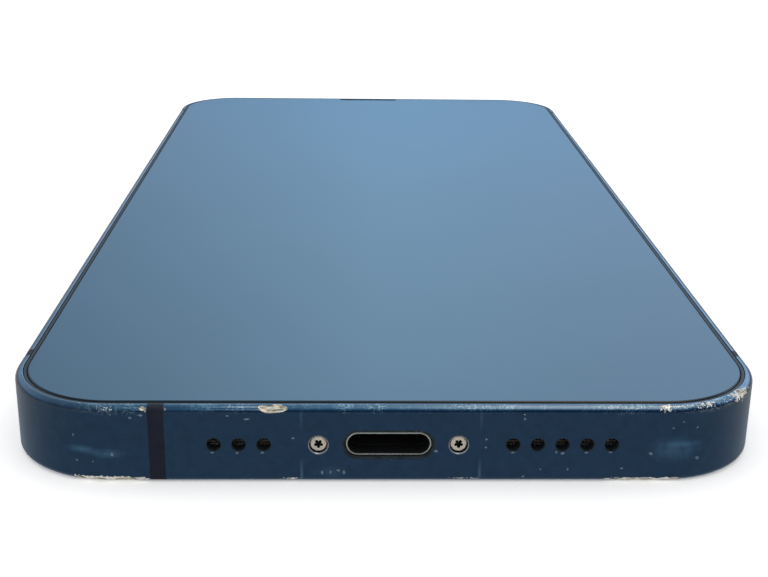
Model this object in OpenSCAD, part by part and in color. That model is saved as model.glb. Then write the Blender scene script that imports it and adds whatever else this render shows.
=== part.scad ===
// A smartphone with a flat-sided metal band, lying on its back with the screen up.
// +X is the right-hand side, +Y runs from the charging port to the top end, +Z leaves the screen.
// Heights in the modules count from the rear glass; piece() lifts them so that the lens rings end at Z = 0.

/* [Body] */
// Width across the two long sides of the band
body_w = 71.5; // [68:0.5:90]
// Length from the port end to the top end
body_l = 146.7; // [140:0.1:180]
// Thickness from the rear glass to the cover glass
body_t = 7.65; // [7.4:0.05:10]
// Radius of the four corners in plan
corner_r = 10.3; // [8.6:0.1:12.4]
// Radius that rounds the band's front and rear edges
edge_r = 0.65; // [0.3:0.05:0.7]
// Wall of the band between its two rebates
band_wall = 1.9; // [1.8:0.1:2.2]
// Wall of the band beside each glass
lip = 0.75; // [0.7:0.05:0.8]
// How far each glass stands proud of the band
glass_proud = 0.05; // [0:0.01:0.1]

/* [Glass and display] */
// Thickness of the cover glass
cover_t = 0.75; // [0.6:0.05:0.9]
// Thickness of the rear glass
rear_glass_t = 0.8; // [0.6:0.05:0.9]
// Thickness of the display panel
panel_t = 1.0; // [0.8:0.05:1.2]
// Thickness of the steel plate behind the panel
shield_t = 0.2; // [0.15:0.05:0.3]
// Height of the display frame's flange under the cover glass
flange_t = 0.8; // [0.7:0.05:0.9]
// Width of the display frame's wall beside the cover glass
frame_wall = 0.28; // [0.2:0.02:0.34]
// Thickness of the seal under the display frame
gasket_t = 0.15; // [0.1:0.01:0.2]
// Length of the earpiece slot
earpiece_w = 11; // [8:0.5:13]

/* [Port end] */
// Width of the charging socket
port_w = 7.4; // [6:0.1:9]
// Height of the charging socket
port_h = 1.85; // [1.5:0.05:2.2]
// Wall of the bright metal liner of the socket
port_liner = 0.25; // [0.15:0.05:0.3]
// Diameter of each sound hole
sound_hole_d = 1.25; // [1:0.05:1.4]
// Distance between neighbouring sound holes
sound_pitch = 2.27; // [2:0.01:2.4]
// Distance from each end screw to the first sound hole beyond it
sound_gap = 4.97; // [4.6:0.01:5.6]
// Sound holes for the loudspeaker
speaker_holes = 5; // [3:1:5]
// Sound holes for the microphone
mic_holes = 3; // [1:1:3]
// Distance from the side of the socket to each end screw
screw_gap = 2.7; // [2.6:0.05:3.2]
// Head diameter of the end screws
screw_head_d = 1.5; // [1.3:0.05:1.7]
// Width of each antenna break
break_w = 1.5; // [1:0.1:1.8]

/* [Keys and tray] */
// Length of each volume key
volume_l = 10.4; // [8:0.1:11]
// Length of the power key
power_l = 17.4; // [12:0.1:21]
// Height of the keys across the band
key_h = 2.9; // [2.4:0.05:3]
// How far the keys stand out of the band
key_proud = 0.35; // [0.2:0.05:0.5]
// Travel of the keys
key_travel = 0.25; // [0.15:0.01:0.28]
// Length of the mute switch's slider
mute_l = 5.5; // [4.5:0.1:6]
// Travel of the mute switch's slider
mute_travel = 1.2; // [0.8:0.05:1.3]
// Length of the tray's face
tray_l = 16.4; // [13.7:0.1:19.8]
// Height of the tray's face
tray_h = 2.2; // [2.1:0.05:2.4]
// How far the tray reaches in from the band's outer face
tray_reach = 19; // [15.8:0.1:22.8]
// Diameter of the hole for the eject pin
pin_hole_d = 0.9; // [0.8:0.05:1]

/* [Rear cameras] */
// Diameter of the moving lens barrels
barrel_d = 7.8; // [6.5:0.1:9.4]
// How far the lens rings reach out past the barrels
ring_rim = 2.8; // [2.4:0.1:3]
// Wall of the square camera housings beside the barrels
housing_wall = 1.8; // [1.5:0.1:1.9]
// Width of the raised plateau
plateau_w = 28; // [27:0.5:30]
// Thickness of the raised plateau
plateau_t = 0.95; // [0.6:0.05:1.2]
// How far the lens rings stand out of the plateau
ring_proud = 0.75; // [0.5:0.05:1]

/* [Inside] */
// Thickness of the middle plate
plate_t = 0.5; // [0.4:0.05:0.6]
// Thickness of the main board
board_t = 0.8; // [0.6:0.05:1]
// Outer diameter of the magnet ring
magnet_ring_d = 54; // [48:0.5:56]
// Number of magnets in the ring
magnets = 18; // [12:1:24]
// Outer diameter of the charging coil
coil_d = 43; // [36:0.5:44]
// Length of the vibration motor's case
haptic_l = 23; // [20:0.5:23]

/* [Hidden] */
$fn = 64;

fit = 0.05;                                    // clearance around pieces that seat in an opening
eps = 0.01;                                    // how far a cut runs past the face that it opens
bump_h = plateau_t + ring_proud;
band_lo = glass_proud;
band_hi = body_t - glass_proud;
mid_h = body_t / 2;                            // height of the keys, the tray and the port end's holes
cover_h = body_t - cover_t;
panel_h = cover_h - panel_t;
roof_h = panel_h - shield_t;                   // underside of the display's steel plate
rebate_h = cover_h - flange_t - gasket_t;
floor_h = rear_glass_t + plate_t;              // inner face of the middle plate
inner_x = body_w / 2 - band_wall;
inner_y = body_l / 2 - band_wall;
flange_w = 1.8;                                // the display frame's flange, measured in from its wall
panel_inset = lip + fit + flange_w + 0.1;
glass_inset = lip + 2 * fit + frame_wall;

side_start = body_l / 2 - corner_r;            // where the straight sides meet the corners
end_start = body_w / 2 - corner_r;
break_x = end_start - 3.65 - break_w / 2;
break_y = side_start - 1.8 - break_w / 2;

mute_y = body_l / 2 - 29.5;
volume_up_y = body_l / 2 - 43;
volume_down_y = body_l / 2 - 56.5;
power_y = body_l / 2 - 49;
tray_y = body_l / 2 - 73;
key_skin = 1.0;                                // wall left outside each key's pocket
key_flange_t = 0.33;
key_flange = 0.3;                              // how far the flange reaches past the key on each side
key_pocket = key_flange + 0.1;
key_stem_end = 1.72;                           // depth of the key's stem tip below the band's face
key_switch_top = key_stem_end + key_travel + 0.08;
mute_slider_h = 1.4;
mute_flange = 0.3;
mute_pocket_h = mute_slider_h + mute_travel + 2 * mute_flange + 0.4;
dome_t = 0.4;
strip_t = 0.3;

screw_x = port_w / 2 + screw_gap;
sound_first = screw_x + sound_gap;
port_slot_w = port_w + 2 * (port_liner + fit);
port_slot_h = port_h + 2 * (port_liner + fit);
bevel = 0.25;                                  // bevel around the socket, outwards and inwards
liner_set_back = bevel;
sound_pocket = 0.8;                            // pocket behind the sound holes, from the inner wall
mesh_t = 0.2;
screw_sink = 0.25;                             // how far the end screws' heads sit below the band's face
screw_head_t = 0.55;
screw_shank_d = 1.0;
screw_reach = 5.85;                            // depth of the end screws' tips

ring_d = barrel_d + 2 * ring_rim;
ring_bore_d = barrel_d + 1.8;
window_d = ring_bore_d + 0.6;
neck_d = ring_bore_d + 1.8;
window_t = 0.5;
ring_gap = 0.4;
camera_w = barrel_d + 2 * housing_wall;
plateau_edge = 0.6;                            // from the band's inner faces to the plateau
plateau_margin = 1.4;                          // from the plateau's edge to the rings
plateau_l = 2 * ring_d + ring_gap + 2 * plateau_margin;
plateau_r = ring_d / 2 + plateau_margin - 0.1;
plateau_x = inner_x - plateau_edge - plateau_w / 2;
plateau_y = inner_y - plateau_edge - plateau_l / 2;
camera_x = plateau_x + plateau_w / 2 - plateau_margin - ring_d / 2;
camera_main_y = plateau_y + (ring_d + ring_gap) / 2;
camera_wide_y = plateau_y - (ring_d + ring_gap) / 2;
flash_x = plateau_x - plateau_w / 2 + 7;
flash_d = 5.4;
focus_travel = 0.2;
barrel_top = -bump_h + fit + window_t + focus_travel + 0.1;

pin_off = tray_l / 2 - 1.3;                    // the eject pin's hole, from the middle of the tray's face
tray_face_t = 1.3;
rod_y = tray_y - pin_off;
rod_w = 1.1;
rod_t = 0.8;
rod_end = tray_reach + 2.6;
tray_y0 = rod_y + 1.5;
tray_y1 = tray_y + tray_l / 2 - 0.8;
tray_body_t = 1.2;
seal_t = 0.45;
card_l = tray_reach - 6.5;
card_w = 9;
reader_start = 2.3;
reader_end = tray_reach + 1.2;
reader_h = 2.05;
reader_wall = 0.2;
reader_side = reader_wall + 0.2;
lever_gap = 0.4;
lever_w = 1.2;
lever_arm = 3.9;                               // from the rod's line to the lever's pivot
lever_tail = 4.5;                              // from the pivot to the lever's other end
lever_y = rod_y + lever_arm;
lever_depth = rod_end + lever_gap + lever_w / 2;
lever_pin_d = 0.9;

board_x0 = -inner_x + 1.45;
board_x1 = -body_w / 2 + lever_depth + 1.65;
battery_gap = 1.2;
battery_x0 = board_x1 + battery_gap;
battery_x1 = inner_x - 2;
battery_y0 = -inner_y + 25.6;
battery_y1 = camera_wide_y - camera_w / 2 - battery_gap;
foot_y1 = battery_y0 + 12;
board_y0 = foot_y1 + 0.6;
board_y1 = inner_y - 13;
arm_x1 = board_x1 + 13;                        // the board's short arm across the top
arm_l = 13;
board_top = mid_h - reader_h / 2;
board_h = board_top - board_t;
connector_top = board_top + 1.1;
screw_row = 25.5;                              // from the board's top edge to its middle pair of screws
board_screws = [
    [board_x0 + 1.8, board_y1 - 1.8], [arm_x1 - 1.8, board_y1 - 1.8],
    [board_x0 + 1.8, board_y0 + 1.8], [board_x1 - 1.8, board_y0 + 1.8],
    [board_x0 + 1.8, board_y1 - screw_row], [board_x1 - 1.8, board_y1 - screw_row]
];
inner_screw_d = 1.2;
inner_head_d = 2.2;
inner_head_t = 0.4;
boss_d = 2.6;
ear_w = 3.6;                                   // screwed ears of the vibration motor and the loudspeaker

sensor_w = 36;                                 // the strip of sensors that the display leaves free
sensor_l = 5.3;
sensor_y = body_l / 2 - panel_inset - sensor_l / 2 + 0.1;
front_camera_x = 10;
earpiece_x = -0.8;

flex_t = 0.12;                                 // the flexible circuits

haptic_x0 = -inner_x + 2.35;
haptic_y0 = battery_y0 - 1.5 - 12.7;
haptic_w = 12.7;
haptic_wall = 0.3;
haptic_mass_l = haptic_l - 8;
spring_gap = 0.02;
haptic_top = roof_h - 0.3;
speaker_x0 = screw_x + 2.6;
speaker_x1 = inner_x - 1.9;
speaker_y1 = battery_y0 - 1.5;
speaker_wall = 0.6;
speaker_h0 = floor_h + 0.2;
speaker_h1 = roof_h - 0.3;
cone_l = 15;
cone_w = 9;
cone_gap = 0.3;
coil_l = cone_l - 5;
coil_w = cone_w - 3.5;
cone_x = (speaker_x0 + speaker_x1) / 2;
cone_y = speaker_y1 - 1.8 - cone_w / 2;

// ---------- helpers ----------

// Colours a piece and lifts it from heights over the rear glass to heights over the lens rings.
module piece(tint) {
    color(tint) translate([0, 0, bump_h]) children();
}

// Frames on the band's outer face: local Z runs inwards, and the long axis of a cut is local X or Y.
module at_port_end(x) {
    translate([x, -body_l / 2, mid_h]) rotate([-90, 0, 0]) children();
}

module at_left(y) {
    translate([-body_w / 2, y, mid_h]) rotate([0, 90, 0]) children();
}

module at_right(y) {
    translate([body_w / 2, y, mid_h]) rotate([0, -90, 0]) children();
}

module stadium(length, width) {
    square([length - width, width], center = true);
    for (side = [-1, 1])
        translate([side * (length - width) / 2, 0]) circle(d = width);
}

module rounded(width, length, radius) {
    square([width - 2 * radius, length], center = true);
    square([width, length - 2 * radius], center = true);
    for (x = [-1, 1], y = [-1, 1])
        translate([x * (width / 2 - radius), y * (length / 2 - radius)]) circle(r = radius);
}

// The body's outline in plan, moved in from the band's outer face.
module outline(inset) {
    rounded(body_w - 2 * inset, body_l - 2 * inset, corner_r - inset);
}

module ring_outline(outer_inset, inner_inset) {
    difference() {
        outline(outer_inset);
        outline(inner_inset);
    }
}

module block(x0, x1, y0, y1, h0, h1) {
    translate([x0, y0, h0]) cube([x1 - x0, y1 - y0, h1 - h0]);
}

// ---------- band ----------

// Section of the band: the outer face is at x = 0 and y is the height.
module band_profile() {
    difference() {
        translate([-band_wall, band_lo]) square([band_wall, band_hi - band_lo]);
        translate([-band_wall - 1, rebate_h]) square([band_wall - lip + 1, body_t]);
        translate([-band_wall - 1, -1]) square([band_wall - lip + 1, rear_glass_t + 1]);
        edge_cut(band_hi - edge_r, 0);
        edge_cut(band_lo + edge_r, 270);
    }
}

module edge_cut(height, turn) {
    translate([-edge_r, height]) rotate(turn) difference() {
        square(edge_r + 1);
        circle(r = edge_r);
    }
}

module side_run(y0, y1) {
    translate([body_w / 2, y1, 0]) rotate([90, 0, 0]) linear_extrude(y1 - y0) band_profile();
}

module end_run(x0, x1) {
    translate([x0, body_l / 2, 0]) rotate([90, 0, 90]) linear_extrude(x1 - x0) band_profile();
}

// The corner between +X and +Y.
module corner_run() {
    translate([end_start, side_start, 0])
        rotate_extrude(angle = 90) translate([corner_r, 0]) band_profile();
}

// From the end's antenna break round one corner to the side's antenna break.
module short_corner() {
    end_run(break_x + break_w / 2, end_start);
    corner_run();
    side_run(break_y + break_w / 2, side_start);
}

// The rest of the end, with its one corner.
module long_corner() {
    end_run(-break_x + break_w / 2, end_start);
    corner_run();
    side_run(break_y + break_w / 2, side_start);
}

module long_side() {
    side_run(-break_y + break_w / 2, break_y - break_w / 2);
}

module key_opening(length) {
    translate([0, 0, -1]) linear_extrude(band_wall + 2)
        rotate(90) stadium(length + 2 * fit, key_h + 2 * fit);
    translate([0, 0, key_skin]) linear_extrude(band_wall)
        rotate(90) stadium(length + 2 * key_pocket, key_h + 2 * key_pocket);
}

module mute_opening() {
    slot_h = mute_slider_h + mute_travel + 2 * fit;
    translate([0, 0, -1]) linear_extrude(band_wall + 2) square([slot_h, mute_l + 2 * fit], center = true);
    translate([0, 0, key_skin]) linear_extrude(band_wall)
        square([mute_pocket_h, mute_l + 1.4], center = true);
}

module band_left() {
    piece("#22384f") difference() {
        mirror([1, 0, 0]) long_side();
        at_left(mute_y) mute_opening();
        at_left(volume_up_y) key_opening(volume_l);
        at_left(volume_down_y) key_opening(volume_l);
        at_left(tray_y) translate([0, 0, -1]) linear_extrude(band_wall + 2)
            rotate(90) stadium(tray_l + 2 * fit, tray_h + 2 * fit);
    }
}

module band_right() {
    piece("#22384f") difference() {
        long_side();
        at_right(power_y) key_opening(power_l);
    }
}

// The bevelled mouth of the socket: two cones and the wedge between them.
module socket_bevel() {
    reach = (port_slot_w - port_slot_h) / 2;
    half = port_slot_h / 2;
    for (side = [-1, 1])
        translate([side * reach, 0, -eps])
            cylinder(r1 = half + bevel, r2 = half, h = bevel);
    translate([-reach, 0, -eps]) rotate([90, 0, 90]) linear_extrude(2 * reach)
        polygon([[-half - bevel, 0], [half + bevel, 0], [half, bevel], [-half, bevel]]);
}

module sound_openings(count, side) {
    span = (count - 1) * sound_pitch;
    for (i = [0 : count - 1])
        at_port_end(side * (sound_first + i * sound_pitch)) {
            translate([0, 0, -1]) cylinder(d = sound_hole_d, h = band_wall + 1);
            translate([0, 0, -eps]) cylinder(d1 = sound_hole_d + 0.2, d2 = sound_hole_d, h = 0.1);
        }
    at_port_end(side * (sound_first + span / 2)) translate([0, 0, band_wall - sound_pocket])
        linear_extrude(band_wall) stadium(span + 2.8, 2.6);
}

module screw_opening() {
    translate([0, 0, -1]) cylinder(d = screw_shank_d + 0.1, h = band_wall + 2);
    translate([0, 0, -1]) cylinder(d = screw_head_d + 0.2, h = 1 + screw_sink + screw_head_t);
}

module band_bottom() {
    piece("#22384f") difference() {
        mirror([0, 1, 0]) long_corner();
        at_port_end(0) {
            translate([0, 0, -1]) linear_extrude(band_wall + 2) stadium(port_slot_w, port_slot_h);
            socket_bevel();
        }
        for (side = [-1, 1]) at_port_end(side * screw_x) screw_opening();
        sound_openings(speaker_holes, 1);
        sound_openings(mic_holes, -1);
    }
}

module band_bottom_corner() {
    piece("#22384f") mirror([1, 0, 0]) mirror([0, 1, 0]) short_corner();
}

module band_top() {
    piece("#22384f") mirror([1, 0, 0]) long_corner();
}

module band_top_corner() {
    piece("#22384f") short_corner();
}

module antenna_break_bottom() {
    piece("#1c1f2b") mirror([0, 1, 0]) end_run(-break_x - break_w / 2, -break_x + break_w / 2);
}

module antenna_break_top() {
    piece("#1c1f2b") end_run(break_x - break_w / 2, break_x + break_w / 2);
}

module side_breaks() {
    for (y = [-break_y, break_y]) side_run(y - break_w / 2, y + break_w / 2);
}

module antenna_breaks_left() {
    piece("#1c1f2b") mirror([1, 0, 0]) side_breaks();
}

module antenna_breaks_right() {
    piece("#1c1f2b") side_breaks();
}

// ---------- back ----------

module at_cameras() {
    for (y = [camera_main_y, camera_wide_y]) translate([camera_x, y]) children();
}

module mid_plate() {
    piece("#8f9499") {
        translate([0, 0, rear_glass_t]) linear_extrude(plate_t) difference() {
            outline(band_wall + fit);
            circle(d = magnet_ring_d + 1);
            at_cameras() circle(d = neck_d + 2 * fit);
            translate([flash_x, plateau_y]) circle(d = flash_d + 2 * fit);
        }
        for (at = board_screws) translate([at[0], at[1], floor_h]) boss();
        for (at = [haptic_ear(), speaker_ear()]) translate([at[0], at[1], floor_h]) boss();
    }
}

module boss() {
    difference() {
        cylinder(d = boss_d, h = board_h - floor_h);
        translate([0, 0, -1]) cylinder(d = inner_screw_d + 0.04, h = board_h);
    }
}

module rear_glass() {
    piece("#1d3a5c") linear_extrude(rear_glass_t) difference() {
        outline(lip + fit);
        at_cameras() circle(d = neck_d + 2 * fit);
        translate([flash_x, plateau_y]) circle(d = flash_d + 2 * fit);
    }
}

module camera_plateau() {
    piece("#1b3350") translate([0, 0, -plateau_t]) linear_extrude(plateau_t) difference() {
        translate([plateau_x, plateau_y]) rounded(plateau_w, plateau_l, plateau_r);
        at_cameras() circle(d = neck_d + 2 * fit);
        translate([flash_x, plateau_y]) circle(d = flash_d + 2 * fit);
        translate([flash_x, plateau_y - 8]) circle(d = 0.9);
    }
}

module lens_ring(y) {
    piece("#2c4763") translate([camera_x, y, 0]) difference() {
        union() {
            translate([0, 0, -bump_h]) cylinder(d = ring_d, h = ring_proud);
            translate([0, 0, -plateau_t]) cylinder(d = neck_d, h = plateau_t + rear_glass_t);
        }
        translate([0, 0, -bump_h - 1]) cylinder(d = ring_bore_d, h = bump_h + rear_glass_t + 2);
        translate([0, 0, -bump_h - 1]) cylinder(d = window_d + 2 * fit, h = 1 + window_t + fit);
    }
}

module lens_window(y) {
    piece("#101820") translate([camera_x, y, -bump_h + fit]) cylinder(d = window_d, h = window_t);
}

module flash_window() {
    piece("#e8e2c8") translate([flash_x, plateau_y, -plateau_t])
        cylinder(d = flash_d, h = plateau_t + rear_glass_t);
}

// ---------- display ----------

module earpiece_slot(grow) {
    translate([0, body_l / 2 - glass_inset - 0.9]) stadium(earpiece_w + 2 * grow, 0.8 + 2 * grow);
}

module cover_glass() {
    piece("#3f5c78") translate([0, 0, cover_h]) linear_extrude(cover_t) difference() {
        outline(glass_inset);
        earpiece_slot(0);
    }
}

module display_frame() {
    piece("#15171c") {
        translate([0, 0, cover_h]) linear_extrude(cover_t - glass_proud - 0.08)
            ring_outline(lip + fit, lip + fit + frame_wall);
        translate([0, 0, cover_h - flange_t]) linear_extrude(flange_t) difference() {
            ring_outline(lip + fit, lip + fit + flange_w);
            earpiece_slot(0);
        }
        for (side = [-1, 1]) screw_lug(side * screw_x);
    }
}

// A lug that hangs from the frame behind the band and takes one end screw.
module screw_lug(x) {
    y0 = -inner_y + 0.15;
    y1 = -body_l / 2 + lip + fit + flange_w;
    difference() {
        union() {
            block(x - 1.2, x + 1.2, y0, y0 + 3.5, mid_h - 1.2, roof_h - 0.15);
            block(x - 1.2, x + 1.2, y0, y1, mid_h - 1.2, cover_h - flange_t + eps);
        }
        at_port_end(x) cylinder(d = screw_shank_d + 0.04, h = band_wall + 10);
    }
}

module display_gasket() {
    piece("#0c0c0e") translate([0, 0, rebate_h]) linear_extrude(gasket_t)
        ring_outline(lip + fit + 0.05, band_wall - 0.05);
}

module display_outline() {
    difference() {
        outline(panel_inset);
        translate([0, body_l / 2 - panel_inset]) square([sensor_w, 2 * sensor_l], center = true);
    }
}

module display_panel() {
    piece("#0b0f14") translate([0, 0, panel_h]) linear_extrude(panel_t) display_outline();
}

module display_shield() {
    piece("#a3a7ab") translate([0, 0, roof_h]) linear_extrude(shield_t) display_outline();
}

// Two flat ribbons that drop from the display to their plugs on the board's arm.
module display_flex() {
    y = board_y1 - 9.5;
    for (x = [board_x1 + 1.5, board_x1 + 6.5]) piece("#7a4a1e") {
        block(x - 0.3, x + 3.8, y - 0.2, y + 3.4, board_top, connector_top);
        block(x, x + 3.5, y, y + 5, connector_top - eps, connector_top + flex_t);
        block(x, x + 3.5, y, y + flex_t, connector_top, roof_h);
        block(x, x + 3.5, y - 6, y + flex_t, roof_h - flex_t, roof_h);
    }
}

module earpiece_mesh() {
    piece("#202226") translate([0, 0, cover_h]) linear_extrude(cover_t - 0.25) earpiece_slot(-fit);
}

module earpiece_speaker() {
    width = 13.4;
    piece("#2b2d30") translate([earpiece_x, 0, 0]) difference() {
        block(-width / 2, width / 2, sensor_y - 2.3, inner_y - 0.15, floor_h + 1.5, rebate_h - 0.05);
        translate([0, sensor_y + 0.4, rebate_h - 1]) linear_extrude(2) stadium(width - 2, 3.4);
    }
}

module front_camera() {
    foot = floor_h + 1.5;
    tip = cover_h - 0.05;
    piece("#141519") translate([front_camera_x, sensor_y, 0]) difference() {
        union() {
            block(-3, 3, -2.4, 2.4, foot, roof_h - 0.6);
            translate([0, 0, foot]) cylinder(d = 4.6, h = tip - foot);
        }
        translate([0, 0, tip - 0.6]) cylinder(d1 = 1.2, d2 = 3.4, h = 0.6 + eps);
    }
}

// The lamp and the two sensors beside the front camera, each on its strip of circuit.
module face_sensors() {
    piece("#1a1b20") translate([0, sensor_y, 0]) {
        for (spot = [[-10.5, 4.4], [-15, 2.8], [15.3, 3.2]])
            translate([spot[0], 0, roof_h - 0.7 + eps]) cylinder(d = spot[1], h = cover_h - roof_h + 0.65);
        for (strip = [[-17.2, -8.1], [13.5, 17.2]])
            block(strip[0], strip[1], -2.3, 2.3, roof_h - 1, roof_h - 0.7 + 2 * eps);
    }
}

// ---------- port end ----------

// Five round lobes about the middle of a screw's head.
module five_lobes() {
    circle(d = 0.42);
    for (i = [0 : 4]) rotate(90 + 72 * i) translate([0.25, 0]) circle(d = 0.3);
}

module bottom_screws() {
    piece("#b9b2a3") for (side = [-1, 1]) at_port_end(side * screw_x) difference() {
        union() {
            translate([0, 0, screw_sink]) cylinder(d = screw_head_d, h = screw_head_t);
            translate([0, 0, screw_sink + eps]) cylinder(d = screw_shank_d, h = screw_reach - screw_sink);
        }
        translate([0, 0, screw_sink - 1]) linear_extrude(1.35) five_lobes();
    }
}

module port_liner() {
    piece("#c9c5bb") at_port_end(0) translate([0, 0, liner_set_back])
        linear_extrude(band_wall - liner_set_back) difference() {
            stadium(port_w + 2 * port_liner, port_h + 2 * port_liner);
            stadium(port_w, port_h);
        }
}

module port_receptacle() {
    piece("#24262b") at_port_end(0) difference() {
        translate([-port_w / 2 - 0.9, -port_h / 2 - 0.7, band_wall + fit])
            cube([port_w + 1.8, port_h + 1.4, 7.5]);
        translate([0, 0, band_wall - 1]) linear_extrude(7.6) stadium(port_w, port_h);
    }
}

module port_contacts() {
    piece("#c9a24a") at_port_end(0)
        for (i = [-3.5 : 3.5])
            translate([i * 0.72 - 0.2, port_h / 2 - 0.15, band_wall + 1.5]) cube([0.4, 0.15, 3]);
}

// The flexible circuit that runs from the socket under the battery to the board.
module port_flex() {
    piece("#6b431f") {
        block(-4.5, 4.5, -inner_y + 2, -inner_y + 8, floor_h, floor_h + flex_t);
        block(-3, 3, -inner_y + 2, battery_y0 + 9, floor_h, floor_h + flex_t);
        block(board_x1 - 9.5, 3, battery_y0 + 4, battery_y0 + 9, floor_h, floor_h + flex_t);
        block(board_x1 - 9.5, board_x1 - 4.5, battery_y0 + 4, board_y0 + 4, floor_h, floor_h + flex_t);
    }
}

module mesh_strip(count, side) {
    span = (count - 1) * sound_pitch;
    at_port_end(side * (sound_first + span / 2)) translate([0, 0, band_wall - sound_pocket + 0.02])
        linear_extrude(mesh_t) stadium(span + 2.6, 2.4);
}

module microphone_mesh() {
    piece("#17181a") mesh_strip(mic_holes, -1);
}

module speaker_mesh() {
    piece("#17181a") mesh_strip(speaker_holes, 1);
}

module microphone() {
    piece("#b8a96a") at_port_end(-sound_first - (mic_holes - 1) * sound_pitch / 2)
        translate([-2, -1.5, band_wall + 0.1]) difference() {
            cube([4, 3, 1.1]);
            translate([2, 1.5, -1]) cylinder(d = 0.5, h = 1.5);
        }
}

function speaker_ear() = [speaker_x0 - ear_w / 2, speaker_y1 - 3];

module screw_ear(at, width) {
    difference() {
        block(at[0] - width / 2 - eps, at[0] + width / 2 + eps, at[1] - width / 2, at[1] + width / 2,
              board_h, board_top);
        translate([at[0], at[1], 0]) cylinder(d = inner_screw_d + 0.2, h = body_t);
    }
}

module speaker_plan(inset) {
    intersection() {
        translate([speaker_x0 + inset, -inner_y - 1])
            square([speaker_x1 - speaker_x0 - 2 * inset, speaker_y1 + inner_y + 1 - inset]);
        outline(band_wall + 0.25 + inset);
    }
}

module speaker_box() {
    piece("#1e2023") {
        difference() {
            translate([0, 0, speaker_h0]) linear_extrude(speaker_h1 - speaker_h0) speaker_plan(0);
            translate([0, 0, speaker_h0 + speaker_wall])
                linear_extrude(speaker_h1 - speaker_h0 - 2 * speaker_wall) speaker_plan(speaker_wall);
            at_port_end(sound_first + (speaker_holes - 1) * sound_pitch / 2) linear_extrude(band_wall + 1.5)
                stadium((speaker_holes - 1) * sound_pitch + 2, 1.8);
            translate([cone_x, cone_y, speaker_h1 - speaker_wall - 1]) linear_extrude(3)
                stadium(cone_l + 2 * cone_gap, cone_w + 2 * cone_gap);
        }
        translate([cone_x, cone_y, speaker_h1 - 2.1]) linear_extrude(2.1 - speaker_wall + eps) difference() {
            stadium(cone_l + 2.4, cone_w + 2.4);
            stadium(cone_l + 2 * cone_gap, cone_w + 2 * cone_gap);
        }
        translate([cone_x, cone_y, speaker_h0 + speaker_wall - eps])
            linear_extrude(speaker_h1 - speaker_h0 - speaker_wall - 2.1) stadium(coil_l - 1.4, coil_w - 1.4);
        screw_ear(speaker_ear(), ear_w);
    }
}

// The cone, with its voice coil round the magnet that stands on the box's floor.
module speaker_cone() {
    piece("#3a3c40") translate([cone_x, cone_y, speaker_h1 - 1.3]) {
        linear_extrude(0.25) stadium(cone_l, cone_w);
        translate([0, 0, -1]) linear_extrude(1 + eps) difference() {
            stadium(coil_l, coil_w);
            stadium(coil_l - 0.6, coil_w - 0.6);
        }
    }
}

// ---------- vibration motor ----------

function haptic_ear() = [haptic_x0 + haptic_l + ear_w / 2, haptic_y0 + haptic_w - 3];

module haptic_case() {
    piece("#9a9da1") {
        difference() {
            block(haptic_x0, haptic_x0 + haptic_l, haptic_y0, haptic_y0 + haptic_w,
                  floor_h + 0.2, haptic_top);
            block(haptic_x0 + haptic_wall, haptic_x0 + haptic_l - haptic_wall, haptic_y0 + haptic_wall,
                  haptic_y0 + haptic_w - haptic_wall, floor_h + 0.2 + haptic_wall, haptic_top - haptic_wall);
            block(haptic_x0 + haptic_l / 2 - 4, haptic_x0 + haptic_l / 2 + 4, haptic_y0 + haptic_w - 1,
                  haptic_y0 + haptic_w + 1, floor_h + 1.2, floor_h + 2.2);
        }
        screw_ear(haptic_ear(), ear_w);
    }
}

module haptic_mass() {
    x0 = haptic_x0 + (haptic_l - haptic_mass_l) / 2;
    piece("#6f7276") difference() {
        block(x0, x0 + haptic_mass_l, haptic_y0 + 1, haptic_y0 + haptic_w - 1,
              floor_h + 0.9, haptic_top - 0.7);
        for (i = [-1, 1])
            block(x0 + haptic_mass_l / 2 + 4 * i - 1, x0 + haptic_mass_l / 2 + 4 * i + 1,
                  haptic_y0 + 2.5, haptic_y0 + haptic_w - 2.5, haptic_top - 1.4, haptic_top);
    }
}

// Leaves side by side, joined at alternate ends by round folds.
module folded_leaf(reach, length) {
    leaf = 0.18;
    folds = 3;
    pitch = (reach - leaf) / folds;
    for (i = [0 : folds]) translate([i * pitch, 0]) square([leaf, length]);
    for (i = [0 : folds - 1])
        translate([i * pitch + (pitch + leaf) / 2, i % 2 * length]) rotate(180 * (i % 2)) mirror([0, 1])
            difference() {
                circle(d = pitch + leaf);
                circle(d = pitch - leaf);
                translate([-reach, -2 * reach - eps]) square(2 * reach);
            }
}

// A folded leaf spring between each end of the mass and the case.
module haptic_springs() {
    reach = (haptic_l - haptic_mass_l) / 2 - haptic_wall - 2 * spring_gap;
    length = haptic_w - 5;
    piece("#c4c6c9") translate([haptic_x0 + haptic_l / 2, haptic_y0 + 2.5, floor_h + 1.2])
        for (side = [0, 1]) mirror([side, 0, 0]) translate([-haptic_l / 2 + haptic_wall + spring_gap, 0, 0])
            linear_extrude(haptic_top - floor_h - 2.4) folded_leaf(reach, length);
}

// ---------- power and board ----------

module battery() {
    piece("#17191b") translate([0, 0, floor_h + 0.2]) linear_extrude(roof_h - floor_h - 0.8)
        polygon([
            [-battery_x1, battery_y0], [battery_x1, battery_y0], [battery_x1, battery_y1],
            [battery_x0, battery_y1], [battery_x0, foot_y1], [-battery_x1, foot_y1]
        ]);
}

module charging_coil() {
    piece("#b8733a") translate([0, 0, rear_glass_t]) {
        rotate_extrude() translate([coil_d / 4, 0]) square([coil_d / 4, 0.3]);
        translate([0, 0, 0.3]) cylinder(d = coil_d + 1, h = plate_t - 0.3);
    }
}

module magnet_ring() {
    slice = 360 / magnets;
    piece("#7c8085") translate([0, 0, rear_glass_t]) for (i = [0 : magnets - 1])
        rotate(i * slice) rotate_extrude(angle = slice - 1.2)
            translate([magnet_ring_d / 2 - 4, 0]) square([4, plate_t]);
}

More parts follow.
